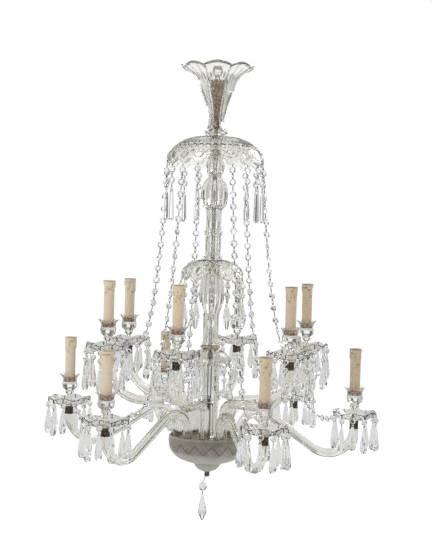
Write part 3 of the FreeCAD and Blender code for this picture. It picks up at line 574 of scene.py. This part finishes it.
lens = turned("lens_relief", 20, [(3.0, -2.6), (7.6, -1.6), (9.3, 0.2), (8.3, 2.0), (5.4, 3.2), (2.2, 3.6)],
              ends="point")
lens.data.transform(Matrix.Rotation(math.pi / 2, 4, "Y") @ Matrix.Diagonal((1.22, 1.34, 1, 1)))
arc = turned("arc_relief", 14, [(5.4, -1.5), (8.2, -1.5), (7.8, 1.6), (6.7, 2.4), (5.8, 1.6)])
arc.data.transform(Matrix.Rotation(math.pi / 2, 4, "Y"))

top_dome = canopy("top_canopy_dome", "top_canopy", -153.0, 18, -10.0, [
    (40, 2.6, 0.3, 0), (58, 5.6, 0.8, 0), (74, 11, 1.0, 0), (86, 18, 1.1, 0), (95, 25.5, 1.0, 0),
    (97.5, 29, 0.3, 0), (101.5, 31, 0, 0), (106.5, 38, 0, 0), (111, 47, 0, 0.4), (113.6, 56, 0, 1.2),
    (114.4, 61, 0.2, -2.2), (115.9, 65, 0.4, -3.6), (115.6, 67.6, 0.4, -4.6)], 4.0)
pressed_row(top_dome, 18, -10.0, 111.6, -202.5, 17.0, lens)
pressed_row(top_dome, 36, 0.0, 99.6, -184.5, 44.0, arc)
middle_dome = canopy("middle_canopy_dome", "middle_canopy", -446.0, 12, 0.0, [
    (34, 2.8, 0.2, 0), (46, 5.8, 0.4, 0), (57, 12, 0.5, 0), (65.5, 22, 0.5, 0), (69.5, 32, 0.3, 0),
    (72.4, 41, 0.3, -2.2), (74.4, 45, 0.3, -3.6), (73.6, 47.6, 0.3, -4.6)], 3.6)
pressed_row(middle_dome, 12, 0.0, 68.6, -475.0, 24.0, lens)
pressed_row(middle_dome, 12, 15.0, 54.5, -457.5, 58.0, arc)
lower_dome = canopy("lower_canopy_dome", "lower_canopy", -660.5, 12, -14.0, [
    (26, 2.2, 0, 0), (31.5, 4.8, 0.2, 0), (39, 11, 0.3, 0), (45.5, 20, 0.3, 0), (48.6, 29, 0.3, 0),
    (50.0, 35, 0.3, -2.2), (51.4, 38, 0.3, -3.6), (50.7, 39.6, 0.3, -4.6)], 3.4)
lens.data.transform(Matrix.Scale(0.84, 4))
pressed_row(lower_dome, 12, -14.0, 47.6, -687.0, 20.0, lens)
for dome in (top_dome, middle_dome, lower_dome):
    finish_with(dome, smooth=30.0)
for shape in (lens, arc):
    bpy.data.objects.remove(shape)

# ------------ Frosted bowl and its cup
# A shallow bowl of grey-green acid-frosted glass hides the nuts under the plate. A zigzag cut through the
# frosting runs round it, dark where the cut is clear. A small frosted cup closes it below. The bowl's
# colour
# is painted with shade: darker in its upper part under the plate and arms, mottled all over, with painted
# light on its grazing edges and its lip.
FROSTED, shader, drift = new_finish("frosted_glass", 70.0, 900.0, 0.0001)
shader.inputs["Roughness"].default_value = 0.55
shader.inputs["Subsurface Weight"].default_value = 0.25
shader.inputs["Subsurface Radius"].default_value = (0.01, 0.01, 0.008)
ramp_between(FROSTED, drift.outputs["Specks"], ((0.3, (0.415, 0.405, 0.34)), (0.7, (0.475, 0.46, 0.39))),
             shader.inputs["Base Color"])
ZIGZAG_POINTS = 15
ZIGZAG_FOOT, ZIGZAG_SLOPE = -0.9005, 0.042
CUT_SHARPNESS = 700.0
SHADED_ABOVE, LIGHT_BELOW = -0.898, -0.913
LIP_HEIGHT = -0.8685
ZIGZAG_AND_PAINTED_SHADE = FROSTED.copy()
ZIGZAG_AND_PAINTED_SHADE.name = "frosted_glass_cut_zigzag_painted_shade"
tree = ZIGZAG_AND_PAINTED_SHADE.node_tree
shader = tree.nodes["Principled BSDF"]
axes = own_axes(tree)
around = math_node(tree, "ARCTAN2", axes["Y"], axes["X"])
cuts = []
for shift, width in ((0.0, 0.0030), (0.5, 0.0018)):
    step = math_node(tree, "MULTIPLY_ADD", around, ZIGZAG_POINTS / (2 * math.pi), 8 + shift)
    step = math_node(tree, "PINGPONG", step, 0.5)
    line = math_node(tree, "MULTIPLY_ADD", step, ZIGZAG_SLOPE, ZIGZAG_FOOT)
    off = math_node(tree, "ABSOLUTE", math_node(tree, "SUBTRACT", axes["Z"], line))
    within = math_node(tree, "SUBTRACT", width, off)
    cuts.append(math_node(tree, "MULTIPLY", within, CUT_SHARPNESS, clamp=True))
dark_cut, pale_cut = cuts
# Painted shade in mottled patches, standing for the shadows of the arms and plate on the bowl.
shade_mottle = tree.nodes.new("ShaderNodeTexNoise")
shade_mottle.inputs["Scale"].default_value = 34.0
shade_mottle.inputs["Detail"].default_value = 3.0
tree.links.new(tree.nodes.new("ShaderNodeTexCoord").outputs["Object"], shade_mottle.inputs["Vector"])
mottled_shade = math_node(tree, "MULTIPLY_ADD", shade_mottle.outputs["Fac"], 1.5, 0.25)
# Painted shade by height: darker above, under the plate, paler below.
low = tree.nodes.new("ShaderNodeMapRange")
for limit, value in (("From Min", SHADED_ABOVE), ("From Max", LIGHT_BELOW),
                     ("To Min", 0.5), ("To Max", 0.84)):
    low.inputs[limit].default_value = value
tree.links.new(axes["Z"], low.inputs["Value"])
# Painted light: the bowl's grazing edges are painted paler.
grazing = tree.nodes.new("ShaderNodeLayerWeight")
grazing.inputs["Blend"].default_value = 0.35
painted_rim_light = math_node(tree, "MULTIPLY_ADD", grazing.outputs["Facing"], 1.1, 0.88)
shade = math_node(tree, "MULTIPLY", math_node(tree, "MULTIPLY", low.outputs["Result"], painted_rim_light), mottled_shade)
# Painted light: the lip above this height is painted paler.
lit_lip = math_node(tree, "MULTIPLY", math_node(tree, "GREATER_THAN", axes["Z"], LIP_HEIGHT), 0.5)
shade = math_node(tree, "MULTIPLY", shade, math_node(tree, "ADD", 1.0, lit_lip))
frosting = shader.inputs["Base Color"].links[0].from_socket
# The colour runs from a painted shadow brown to the frosting as the painted shade lifts.
colour = mixed(tree, shade, (0.05, 0.036, 0.02, 1), frosting)
for cut, share, tone in ((pale_cut, 0.4, (0.50, 0.49, 0.44, 1)),
                         (dark_cut, 0.62, (0.085, 0.068, 0.055, 1))):
    colour = mixed(tree, math_node(tree, "MULTIPLY", cut, share), colour, tone)
tree.links.new(colour, shader.inputs["Base Color"])
surface = tree.nodes["Bump"].inputs["Height"]
groove = math_node(tree, "MULTIPLY", math_node(tree, "MAXIMUM", dark_cut, pale_cut), 4.0)
tree.links.new(math_node(tree, "SUBTRACT", surface.links[0].from_socket, groove), surface)
bowl = turned("bowl_shell", 72, [
    (27, -928.2), (33.0, -931.3), (42, -929.6), (55, -925.8), (68, -920.5), (78.5, -913.5), (86, -905.5),
    (90.4, -897.5), (93.0, -888), (93.9, -878), (93.4, -871.5), (92.1, -866.4), (90.6, -865.7),
    (88.4, -866.3), (89.6, -878), (88.6, -887.5), (83.5, -899), (75, -908.5), (64, -916), (52, -921.5),
    (40, -925.6)])
finish_with(bowl)
fitted(bowl, ZIGZAG_AND_PAINTED_SHADE, "bowl")
bowl_floor = turned("bowl_floor", 48, [(BORE, -930.5), (31.5, -930.5), (31.5, -927.2), (BORE, -927.2)])
finish_with(bowl_floor)
fitted(bowl_floor, FROSTED, None)
bowl_cup = turned("bowl_cup_shell", 48, [
    (BORE, -931.7), (33.4, -931.7), (31.8, -935.0), (29.4, -938.5), (26.6, -942.5), (22.5, -946.4),
    (16.5, -949.6), (10.5, -951.6), (8.8, -952.3), (BORE, -952.3)])
finish_with(bowl_cup, bevel=0.4)
fitted(bowl_cup, FROSTED, "bowl_cup")
nut = turned("finial_nut_turned", 12, [
    (BORE, -952.8), (7.0, -952.8), (7.4, -953.6), (6.2, -955.2), (5.2, -956.4), (6.4, -958.2),
    (6.4, -962.2), (5.6, -964.2), (4.0, -964.3), (BORE * 0.5, -964.3)], ends="flat")
finish_with(nut, bevel=0.2)
DULL_IRON = make_metal("dull_iron", (0.06, 0.058, 0.055), (0.22, 0.21, 0.20), 0.45, 300.0)
fitted(nut, DULL_IRON, "finial_nut")

# ------------ Glass arms
# Twelve solid glass arms, slightly yellow, drawn with ten fine ribs and bent hot: straight up from the
# socket, over an arch, down to a dip and up again to the light. The upper tier stands closer and higher.
ARM_GLASS = make_glass("arm_glass", (0.94, 0.935, 0.875), 0.02, 80.0, 0.0004)
PLATE_TOP = -871.5
TIERS = {
    "lower": {"socket": 74, "arch": 50, "arch_rise": 16, "dip": 60, "reach": 345, "end_rise": 39,
              "first": -10, "turns": (0, 0, 0, 0, 0, 0)},
    "upper": {"socket": 48, "arch": 30, "arch_rise": 58, "dip": 93, "reach": 248, "end_rise": 183,
              "first": -44, "turns": (0, 3.7, -2.5, 12.4, 0, -3.7)},
}
ARM_RIBS = 10
FOOT_DEPTH = 1.4


def bent_arm(name, sizes):
    """One arm in the XZ plane: a ribbed ring pulled up, spun over the arch, pulled straight and spun up."""
    arm = ring_start(name, ARM_RIBS * 4, 10.6 * MM, 0.0)
    ring_shape(ARM_RIBS, 10.1 * MM, 0, 0.5 * MM, 0, flute_wave)
    bpy.ops.mesh.select_all(action="SELECT")
    foot = selected_corners()
    bpy.ops.transform.translate(value=(sizes["socket"] * MM, 0, (PLATE_TOP - FOOT_DEPTH) * MM))
    arch_x, arch_z = sizes["socket"] + sizes["arch"], PLATE_TOP + sizes["arch_rise"]
    dip_x, dip_z = sizes["reach"] - sizes["dip"], PLATE_TOP + sizes["end_rise"]
    across, rise = dip_x - arch_x, dip_z - arch_z
    reach = math.hypot(across, rise)
    radii = sizes["arch"] + sizes["dip"]
    slope = math.atan2(rise, across) - math.asin(radii / reach)
    bpy.ops.mesh.extrude_region_move()
    bpy.ops.transform.translate(value=(0, 0, (sizes["arch_rise"] + FOOT_DEPTH) * MM))
    bend = math.pi / 2 - slope
    bpy.ops.mesh.spin(steps=14, angle=bend, center=(arch_x * MM, 0, arch_z * MM), axis=(0, -1, 0))
    straight = math.sqrt(reach ** 2 - radii ** 2)
    bpy.ops.mesh.extrude_region_move()
    bpy.ops.transform.translate(value=(straight * math.cos(slope) * MM, 0, straight * math.sin(slope) * MM))
    bpy.ops.mesh.spin(steps=16, angle=bend, center=(dip_x * MM, 0, dip_z * MM), axis=(0, 1, 0))
    tip = selected_corners()
    for ring in (foot, tip):
        select_corners(ring)
        bpy.ops.mesh.edge_face_add()
    bpy.ops.mesh.select_all(action="SELECT")
    bpy.ops.mesh.remove_doubles(threshold=0.00001)
    bpy.ops.mesh.normals_make_consistent(inside=False)
    bpy.ops.object.mode_set(mode="OBJECT")
    finish_with(arm, smooth=40.0)
    return arm


LIGHTS = []
for tier, sizes in TIERS.items():
    arm = bent_arm(f"{tier}_arm_glass", sizes)
    socket = Matrix.Translation((sizes["socket"] * MM, 0, 0))
    end = Vector((sizes["reach"] - sizes["socket"], 0, PLATE_TOP + sizes["end_rise"])) * MM
    for number, turn in enumerate(sizes["turns"]):
        spot = Matrix.Rotation(math.radians(sizes["first"] + 60 * number), 4, "Z") @ socket
        spot = spot @ Matrix.Rotation(math.radians(turn), 4, "Z")
        LIGHTS.append(spot @ Matrix.Translation(end))
        spot = spot @ socket.inverted()
        arm_name = f"{tier}_arm_{number + 1}"
        fitted(copy_to(arm, f"{arm_name}_glass", spot), ARM_GLASS, arm_name)
    bpy.data.objects.remove(arm)

# ------------ Ferrules
# A dark brass collar clasps the end of each arm, turned with a bead at top and foot, and the dish rests
# on it.


def on_every_light(piece, name, material, node_name, without=None):
    """Copies the piece, modelled with the arm's end at the origin, to all twelve arms, or all but one."""
    twins = [copy_to(piece, f"{name}_{number}", spot)
             for number, spot in enumerate(LIGHTS, 1) if number != without]
    bpy.data.objects.remove(piece)
    fitted(merged(twins, name), material, node_name)


BLACKENED_BRASS = make_metal("blackened_brass", (0.035, 0.03, 0.022), (0.15, 0.12, 0.08), 0.4, 260.0)
ferrule = turned("ferrule", 24, [
    (10.2, 0.1), (10.9, 0.6), (10.9, 2.6), (10.0, 3.4), (10.0, 14.6), (10.9, 15.6), (10.9, 18.4),
    (10.2, 18.9)], ends="flat")
finish_with(ferrule, bevel=0.25)
on_every_light(ferrule, "ferrules", BLACKENED_BRASS, "arm_ferrules")

# ------------ Drip dishes
# A shallow pressed dish under each candle cup: a flat hub, a rim that curls up in six main waves, each one
# nicked in its middle, and fine rays on the underside.


def dish_wave(share):
    """Six waves whose tops are drawn out, with a small nick between two points."""
    return math.cos(2 * math.pi * share) - (0.45 if share < 0.04 else 0.0)


def ray_wave(share):
    """Four fine rays to every wave of the rim."""
    return math.cos(8 * math.pi * share)


dish = turned("drip_dish", 96, [
    (12.2, 19.1), (22, 20.6), (34, 24.6, 0.7, 0.6), (43, 30.6, 0.8, 1.6), (48, 35.8, 0.8, 2.4),
    (50.2, 38.8, 0.8, 2.7), (50.0, 40.2, 0.8, 2.7), (48.8, 40.3, 0.6, 2.7), (46.4, 37.4, 0.2, 2.4),
    (41, 32.2, 0, 1.6), (32, 26.9, 0, 0.4), (22, 24.9), (12.2, 24.9)],
    lobes=6, wave=ray_wave, rise_wave=dish_wave, ends="flat")
dish.data.transform(Matrix.Rotation(math.radians(30), 4, "Z"))
finish_with(dish, bevel=0.3)
on_every_light(dish, "drip_dish_glass", PRESSED_GLASS, "drip_dishes")

# ------------ Candle cups
# Pressed glass cups: a stem with a knop, a squashed bulb with ring cuts and eight soft panels, and a lip
# that flares in eight points. The candle stands in the cup.


def lip_wave(share):
    """Pointed petals of the lip."""
    return 1 - 2 * min(1.0, 2 * share) ** 0.8


candle_cup = turned("candle_cup", 64, [
    (9.6, 25.1), (9.8, 27.0), (7.4, 31), (5.8, 37), (5.6, 44), (6.4, 47.5), (10.2, 50.0, 0.3),
    (10.9, 53.2, 0.3), (9.6, 56.4, 0.3), (11.4, 58.6, 0.3), (15.6, 61.6, 0.5), (18.2, 65.6, 0.6),
    (17.2, 67.2, 0.5), (18.5, 69.4, 0.6), (18.6, 74.4, 0.6), (16.9, 77.6, 0.5), (17.2, 79.6, 0.5),
    (17.2, 84.0, 0.5), (18.6, 89, 0.7, 0.6), (22.0, 93.6, 1.4, 1.4), (24.2, 95.0, 1.3, 1.9),
    (23.6, 95.2, 1.3, 1.8), (20.6, 92.6, 1.1, 1.2), (16.6, 88.0, 0.4, 0.4), (15.9, 84, 0.2),
    (15.9, 78.2, 0.2)], lobes=8, wave=lip_wave, ends="flat")
finish_with(candle_cup, bevel=0.3)
on_every_light(candle_cup, "candle_cup_glass", CUT_GLASS, "candle_cups")

# ------------ Candle sleeves and lampholders
# Card sleeves waxed in tan, with run drips round the top, a darker top rim and a darker foot. Painted light
# makes them paler on the -X side of the chandelier and darker on the +X side, painted shade darkens the
# edges of the drips, and a painted sheen pales their grazing edges. They stand over ivory moulded
# lampholders, a copper-brown spring clip round the foot of each. One light has lost its sleeve and clip.
# The first number is painted light: it pales the sleeves on the -X side and darkens them on the +X side.
# The second is how far the painted shade on the drips' edges and the darker rim and foot darken the wax.
SIDE_LIGHT, DARKENING_DEPTH = 0.34, 0.48
WAX_SHEEN = (0.80, 0.77, 0.70, 1)
CARD, shader, drift = new_finish("waxed_card", 90.0, 700.0, 0.0006)
shader.inputs["Roughness"].default_value = 0.62
shader.inputs["Subsurface Weight"].default_value = 0.1
shader.inputs["Subsurface Radius"].default_value = (0.004, 0.003, 0.002)
tree = CARD.node_tree
# A layer on the sleeves' corners: painted shade along the edges of the wax drips, and a darker top rim and
# foot.
drip_shade_and_dark_ends = tree.nodes.new("ShaderNodeAttribute")
drip_shade_and_dark_ends.attribute_name = "drip_shade_and_dark_ends"
# Painted light: paler towards -X, darker towards +X, as the light falls across the chandelier.
side_lit = math_node(tree, "MULTIPLY", own_axes(tree)["X"], SIDE_LIGHT)
side_lit = math_node(tree, "SUBTRACT", drift.outputs["Specks"], side_lit)
clean = math_node(tree, "SUBTRACT", side_lit, math_node(tree, "MULTIPLY", drip_shade_and_dark_ends.outputs["Fac"], DARKENING_DEPTH))
skin = shader.inputs["Base Color"]
ramp_between(CARD, clean, ((0.12, (0.24, 0.155, 0.085)), (0.30, (0.47, 0.355, 0.225)),
                           (0.52, (0.68, 0.56, 0.395)), (0.8, (0.80, 0.70, 0.54))), skin)
# A painted sheen: the sleeves' colour is paled towards their grazing edges.
grazing = tree.nodes.new("ShaderNodeLayerWeight")
grazing.inputs["Blend"].default_value = 0.25
sheen = math_node(tree, "MULTIPLY", grazing.outputs["Facing"], 0.75)
tree.links.new(mixed(tree, sheen, skin.links[0].from_socket, WAX_SHEEN), skin)
CLIP = make_metal("copper_brown_clip", (0.20, 0.085, 0.045), (0.66, 0.50, 0.40), 0.45, 260.0)
HOLDER, shader, drift = new_finish("moulded_ivory", 120.0, 500.0, 0.0001)
shader.inputs["Roughness"].default_value = 0.5
ramp_between(HOLDER, drift.outputs["Specks"], ((0.3, (0.66, 0.64, 0.59)), (0.7, (0.76, 0.745, 0.70))),
             shader.inputs["Base Color"])
CUP_FLOOR = 78.0
SLEEVE_TOP = CUP_FLOOR + 109.0
SLEEVE_RADIUS, SLEEVE_BORE = 12.3, 11.0
WAX, WAX_RINGS = 2.1, 1.6
WAX_RUNS, RUN_LIMIT = 9, 41
DARK_FOOT = 105
random_drips = np.random.default_rng(7)


def sleeve_with_drips(name):
    """A round card tube capped in wax that has run down its upper end in tongues of different lengths."""
    rings = [(SLEEVE_RADIUS, CUP_FLOOR + rise) for rise in (0.2, 12, 40, 62)]
    rings += [(SLEEVE_RADIUS, SLEEVE_TOP - drop) for drop in np.arange(RUN_LIMIT + 1, 2, -WAX_RINGS)]
    rings += [(SLEEVE_RADIUS, SLEEVE_TOP - 0.9), (SLEEVE_RADIUS - 0.3, SLEEVE_TOP - 0.2)]
    rings += [(SLEEVE_BORE + 0.2, SLEEVE_TOP - 0.8), (SLEEVE_BORE, SLEEVE_TOP - 12)]
    rings += [(SLEEVE_BORE, CUP_FLOOR + 0.2)]
    tube = turned(name, 48, rings)
    chance = random_drips.uniform
    runs = [(chance(0, 2 * math.pi), chance(14, 38), chance(0.16, 0.42)) for _ in range(WAX_RUNS)]
    # The layer of painted shade on the drips' edges, with the top rim and the foot darker.
    darkening_layer = tube.data.attributes.new("drip_shade_and_dark_ends", "FLOAT", "POINT")
    for corner, drip_shade_and_dark_ends in zip(tube.data.vertices, darkening_layer.data):
        radius = math.hypot(corner.co.x, corner.co.y) / MM
        drop = SLEEVE_TOP - corner.co.z / MM
        drip_shade_and_dark_ends.value = 0.9 if drop > DARK_FOOT else 0.0
        if radius < SLEEVE_BORE + 0.5 or drop > RUN_LIMIT:
            continue
        angle = math.atan2(corner.co.y, corner.co.x)
        edge = 10.0
        for centre, length, width in runs:
            apart = abs((angle - centre + math.pi) % (2 * math.pi) - math.pi) / width
            if apart < 1:
                edge = max(edge, length * (1 - apart ** 4))
        inside_run = (edge - drop) / WAX_RINGS
        swell = WAX * min(1.0, max(0.0, inside_run) ** 0.5)
        # Painted shade, strongest on the edge of each drip tongue and fading on both sides of it; the top
        # rim is fully darkened.
        drip_shade_and_dark_ends.value = max(0.0, 1 - abs(inside_run) / 1.1) if drop > 1.5 else 1.0
        grow = (radius + swell * (0.5 if drop < 0.6 else 1.0)) / radius
        corner.co.x *= grow
        corner.co.y *= grow
    finish_with(tube, smooth=60.0)
    return tube


BARE_LIGHT = 9
sleeves = []
for number, spot in enumerate(LIGHTS, 1):
    if number == BARE_LIGHT:
        continue
    tube = sleeve_with_drips(f"sleeve_{number}")
    tube.data.transform(spot @ Matrix.Rotation(1.7 * number, 4, "Z"))
    sleeves.append(tube)
fitted(merged(sleeves, "candle_sleeves_waxed"), CARD, "candle_sleeves")

holder = turned("lampholder", 24, [
    (8.6, 78.2), (8.8, 79), (8.8, 150), (8.2, 151), (8.2, 176), (8.7, 177), (8.7, 183), (7.4, 184),
    (6.6, 183.6), (6.6, 170)], ends="flat")
finish_with(holder, bevel=0.3)
on_every_light(holder, "lampholder_bodies", HOLDER, "lampholders")

clip = turned("sleeve_clip", 24, [
    (13.2, 78.3), (14.6, 79.0), (15.3, 86.5), (14.9, 87.5), (13.4, 88.0), (13.15, 87.0), (13.15, 79.5)])
finish_with(clip, bevel=0.1)
on_every_light(clip, "sleeve_clips", CLIP, None, BARE_LIGHT)

# ------------ Beads, links and drops
# Cut crystal: flat octagon beads pinned to one another by bent wire links, and drops cut in long facets.
# Each string, festoon and dish garland lies where its CAD piece lies, bead for bead.
CRYSTAL = make_glass("cut_crystal", (0.972, 0.972, 0.97), 0.0, 90.0, 0.00003, ior=1.54)
LINK_WIRE = make_metal("link_wire", (0.05, 0.045, 0.038), (0.17, 0.155, 0.13), 0.4, 900.0)


def crystal_bead(name, radius, thickness):
    """An octagon bead standing on a corner, its table on both faces and a sloping cut all round."""
    half = thickness / 2
    bead = turned(name, 8, [(radius * 0.58, -half * 0.72), (radius * 0.97, -half * 0.36), (radius, 0),
                            (radius * 0.97, half * 0.36), (radius * 0.58, half * 0.72)], ends="flat")
    bead.data.transform(Matrix.Rotation(math.pi / 2, 4, "X"))
    return bead


def crystal_drop(name, outline, flat):
    """A flat drop one metre long, hanging from the origin, a table in front and bevels at its sides.

    Its outline is (share of the length, radius in millimetres).
    """
    drop = turned(name, 8, [(radius, -1000 * share) for share, radius in outline], ends="point")
    drop.data.transform(Matrix.Diagonal((1, flat, 1, 1)) @ Matrix.Rotation(math.pi / 8, 4, "Z"))
    return drop


def wire_link(name):
    """An oval ring of wire one unit long, to be stretched between two beads."""
    bpy.ops.object.select_all(action="DESELECT")
    bpy.ops.mesh.primitive_torus_add(major_segments=10, minor_segments=4, major_radius=0.5,
                                     minor_radius=0.17)
    link = bpy.context.object
    link.name = link.data.name = name
    link.data.transform(Matrix.Rotation(math.pi / 2, 4, "X"))
    return link


def strung_parts(node_name):
    """The corners of each bead, link and drop of a CAD string: faces that share an edge belong together."""
    mesh = frame["nodes"][node_name].data
    keys = [tuple(round(c * 1e6) for c in v.co) for v in mesh.vertices]
    by_edge = {}
    mesh.calc_loop_triangles()
    for number, face in enumerate(mesh.loop_triangles):
        ring = [keys[index] for index in face.vertices]
        for a, b in zip(ring, ring[1:] + ring[:1]):
            by_edge.setdefault(frozenset((a, b)), []).append(number)
    groups = list(range(len(mesh.loop_triangles)))

    def leader(number):
        while groups[number] != number:
            number = groups[number]
        return number

    for members in by_edge.values():
        for other in members[1:]:
            groups[leader(other)] = leader(members[0])
    parts = {}
    for number, face in enumerate(mesh.loop_triangles):
        parts.setdefault(leader(number), set()).update(keys[index] for index in face.vertices)
    return [[Vector(key) * 1e-6 for key in sorted(part)] for part in parts.values()]


def farthest(corners):
    """The two corners of a piece that lie farthest apart."""
    return max(((a, b) for a in corners for b in corners), key=lambda pair: (pair[0] - pair[1]).length)


def aligned(origin, up, front, size=1.0, stretch=1.0):
    """Carries a piece modelled with Z up and -Y to the front to a place, direction and size."""
    up = up.normalized()
    side = up.cross(front).normalized()
    back = up.cross(side)
    turn = Matrix((side, back, up)).transposed().to_4x4()
    return Matrix.Translation(origin) @ turn @ Matrix.Diagonal((size, size, stretch, 1))


UP = Vector((0, 0, 1))
BEAD_RADIUS = 8.5
bead_shape = crystal_bead("bead_shape", BEAD_RADIUS, 8.0)
link_shape = wire_link("link_shape")
DROPS = {
    "pear": crystal_drop("pear_shape", [
        (0.002, 1.4), (0.04, 2.4), (0.10, 2.2), (0.14, 3.8), (0.36, 6.0), (0.60, 8.2), (0.78, 9.2),
        (0.90, 8.0), (0.97, 4.8)], 0.48),
    "almond": crystal_drop("almond_shape", [
        (0.002, 1.4), (0.04, 2.4), (0.09, 2.3), (0.13, 3.4), (0.40, 7.2), (0.62, 9.4), (0.76, 8.2),
        (0.93, 3.0)], 0.48),
    "long_almond": crystal_drop("long_almond_shape", [
        (0.002, 1.8), (0.03, 3.2), (0.06, 3.0), (0.10, 4.2), (0.40, 8.4), (0.62, 11.0), (0.78, 9.2),
        (0.93, 4.2), (1.0, 1.4)], 0.76),
    "prism": crystal_drop("prism_shape", [
        (0.002, 2.0), (0.03, 3.4), (0.08, 4.2), (0.11, 3.0), (0.15, 5.0), (0.5, 6.6), (0.88, 7.9),
        (0.92, 7.6), (0.98, 2.8)], 0.55),
}
LINK_WIDTH = 0.0036
LINK_CORNERS = 5
SHORTEST_DROP = 0.025
hanging_twist = np.random.default_rng(11)


def crystal_string(node_name, drop_kind=None, turns=(0.0, 0.0), sway=0.45):
    """Replaces a CAD string by crystal pieces on its places, with their links as a second piece.

    The turns, in radians, are how far its beads face sideways at its top and from its middle down, and the
    sway is how much each differs by chance.
    """
    parts = strung_parts(node_name)
    highest = max(corner.z for part in parts for corner in part)
    height = highest - min(corner.z for part in parts for corner in part)
    seen = Counter(tuple(corner) for part in parts for corner in part)
    crystals, wires = [], []
    for part in parts:
        down = min(1.0, 2 * (highest - part[0].z) / height)
        twist = hanging_twist.uniform(-sway, sway) + turns[0] + (turns[1] - turns[0]) * down
        front = Vector((math.sin(twist), -math.cos(twist), 0))
        far_a, far_b = farthest(part)
        length = (far_a - far_b).length
        top = max(part, key=lambda corner: corner.z)
        if len(part) == LINK_CORNERS:
            front = Vector((0.4, -1, 0.2)) if len(wires) % 2 else Vector((1, 0.35, 0.1))
            place = aligned((far_a + far_b) / 2, far_b - far_a, front, LINK_WIDTH, length * 0.96)
            wires.append(copy_to(link_shape, "link", place))
        elif length > SHORTEST_DROP:
            crystals.append(copy_to(DROPS[drop_kind], "drop", aligned(top, UP, front, 1.0, length)))
        else:
            centre = sum(part, Vector()) / len(part)
            pinned = [corner for corner in part if seen[tuple(corner)] > 1] or [top]
            size = length / 2 / BEAD_RADIUS / MM
            place = aligned(centre, pinned[-1] - centre, front, size, size)
            crystals.append(copy_to(bead_shape, "bead", place))
    body = node_name if node_name in frame["bodies"] else "column"
    fitted(merged(crystals, f"{node_name}_crystals"), CRYSTAL, node_name, body)
    if wires:
        fitted(merged(wires, f"{node_name}_links"), LINK_WIRE, None, body)


for number in range(1, 9):
    crystal_string(f"prism_string_{number}", "prism")
for number, turns in enumerate(((0.9, 0.95), (0, 0.2), (0, 0), (0, 0.3), (0.2, 1.1), (0, 0)), 1):
    crystal_string(f"festoon_chain_{number}", turns=turns)
for side in ("right", "left"):
    crystal_string(f"swag_{side}")
for tier in ("lower", "upper"):
    crystal_string(f"{tier}_dish_drops", "pear")
crystal_string("middle_canopy_strings", "almond")
crystal_string("lower_canopy_strings", "pear")
crystal_string("pendant_bead", turns=(0.35, 0.35), sway=0.0)
crystal_string("pendant_drop", "long_almond", turns=(0.2, 0.2), sway=0.0)

# ------------ Second round of drops on the dishes
# Between the drops at the tips of each dish's rim hangs another, a little lower: a bead and a pear on links
# on the lower tier, two beads and a pear on the upper one. None hangs over the arm or where a festoon or
# swag comes close, at rest or at the end of its swing.
RIM_RADIUS, RIM_HEIGHT = 51.0, 37.0
FIRST_LINK, NEXT_LINK = 9.0, 5.0
SECOND_BEAD, BEAD_HEIGHT = 7, 13.0
PEAR_LENGTH = 0.062
CLEARANCE = 0.022
CLEAR_ABOVE, CLEAR_BELOW = 0.02, 0.125
LOWER_LIGHTS = 6
SWUNG_AGAINST = ((9, 4), (12, 4))
nearby = ("festoon", "swag", "prism", "lower_canopy")
taken = np.array([corner for name in frame["nodes"] if name.startswith(nearby)
                  for part in strung_parts(name) for corner in part])
bead_size = SECOND_BEAD / BEAD_RADIUS
second_crystals, second_wires = [], []
for number, spot in enumerate(LIGHTS, 1):
    strung = [(FIRST_LINK, "bead"), (NEXT_LINK, "bead"), (NEXT_LINK, "pear")]
    if number <= LOWER_LIGHTS:
        strung = [(FIRST_LINK, "bead"), (NEXT_LINK, "pear")]
    for corner in (0, 1, 2, 4, 5):
        if (number, corner) in SWUNG_AGAINST:
            continue
        around = math.radians(60 * corner)
        rim = Vector((RIM_RADIUS * math.cos(around), RIM_RADIUS * math.sin(around), RIM_HEIGHT))
        hang = spot @ (rim * MM)
        beside = taken[(taken[:, 2] < hang.z + CLEAR_ABOVE) & (taken[:, 2] > hang.z - CLEAR_BELOW)]
        if len(beside) and np.hypot(beside[:, 0] - hang.x, beside[:, 1] - hang.y).min() < CLEARANCE:
            continue
        twist = hanging_twist.uniform(-0.45, 0.45)
        front = Vector((math.sin(twist), -math.cos(twist), 0))
        for reach, hung in strung:
            link = aligned(hang - UP * reach / 2 * MM, UP, front.cross(UP), LINK_WIDTH, reach * MM)
            second_wires.append(copy_to(link_shape, "link", link))
            hang = hang - UP * reach * MM
            if hung == "bead":
                bead = aligned(hang - UP * BEAD_HEIGHT / 2 * MM, UP, front, bead_size, bead_size)
                second_crystals.append(copy_to(bead_shape, "bead", bead))
                hang = hang - UP * BEAD_HEIGHT * MM
        pear = aligned(hang + UP * 0.5 * MM, UP, front, 1.0, PEAR_LENGTH)
        second_crystals.append(copy_to(DROPS["pear"], "drop", pear))
fitted(merged(second_crystals, "second_drops_crystals"), CRYSTAL, None)
fitted(merged(second_wires, "second_drops_links"), LINK_WIRE, None)
for shape in (bead_shape, link_shape, *DROPS.values()):
    bpy.data.objects.remove(shape)
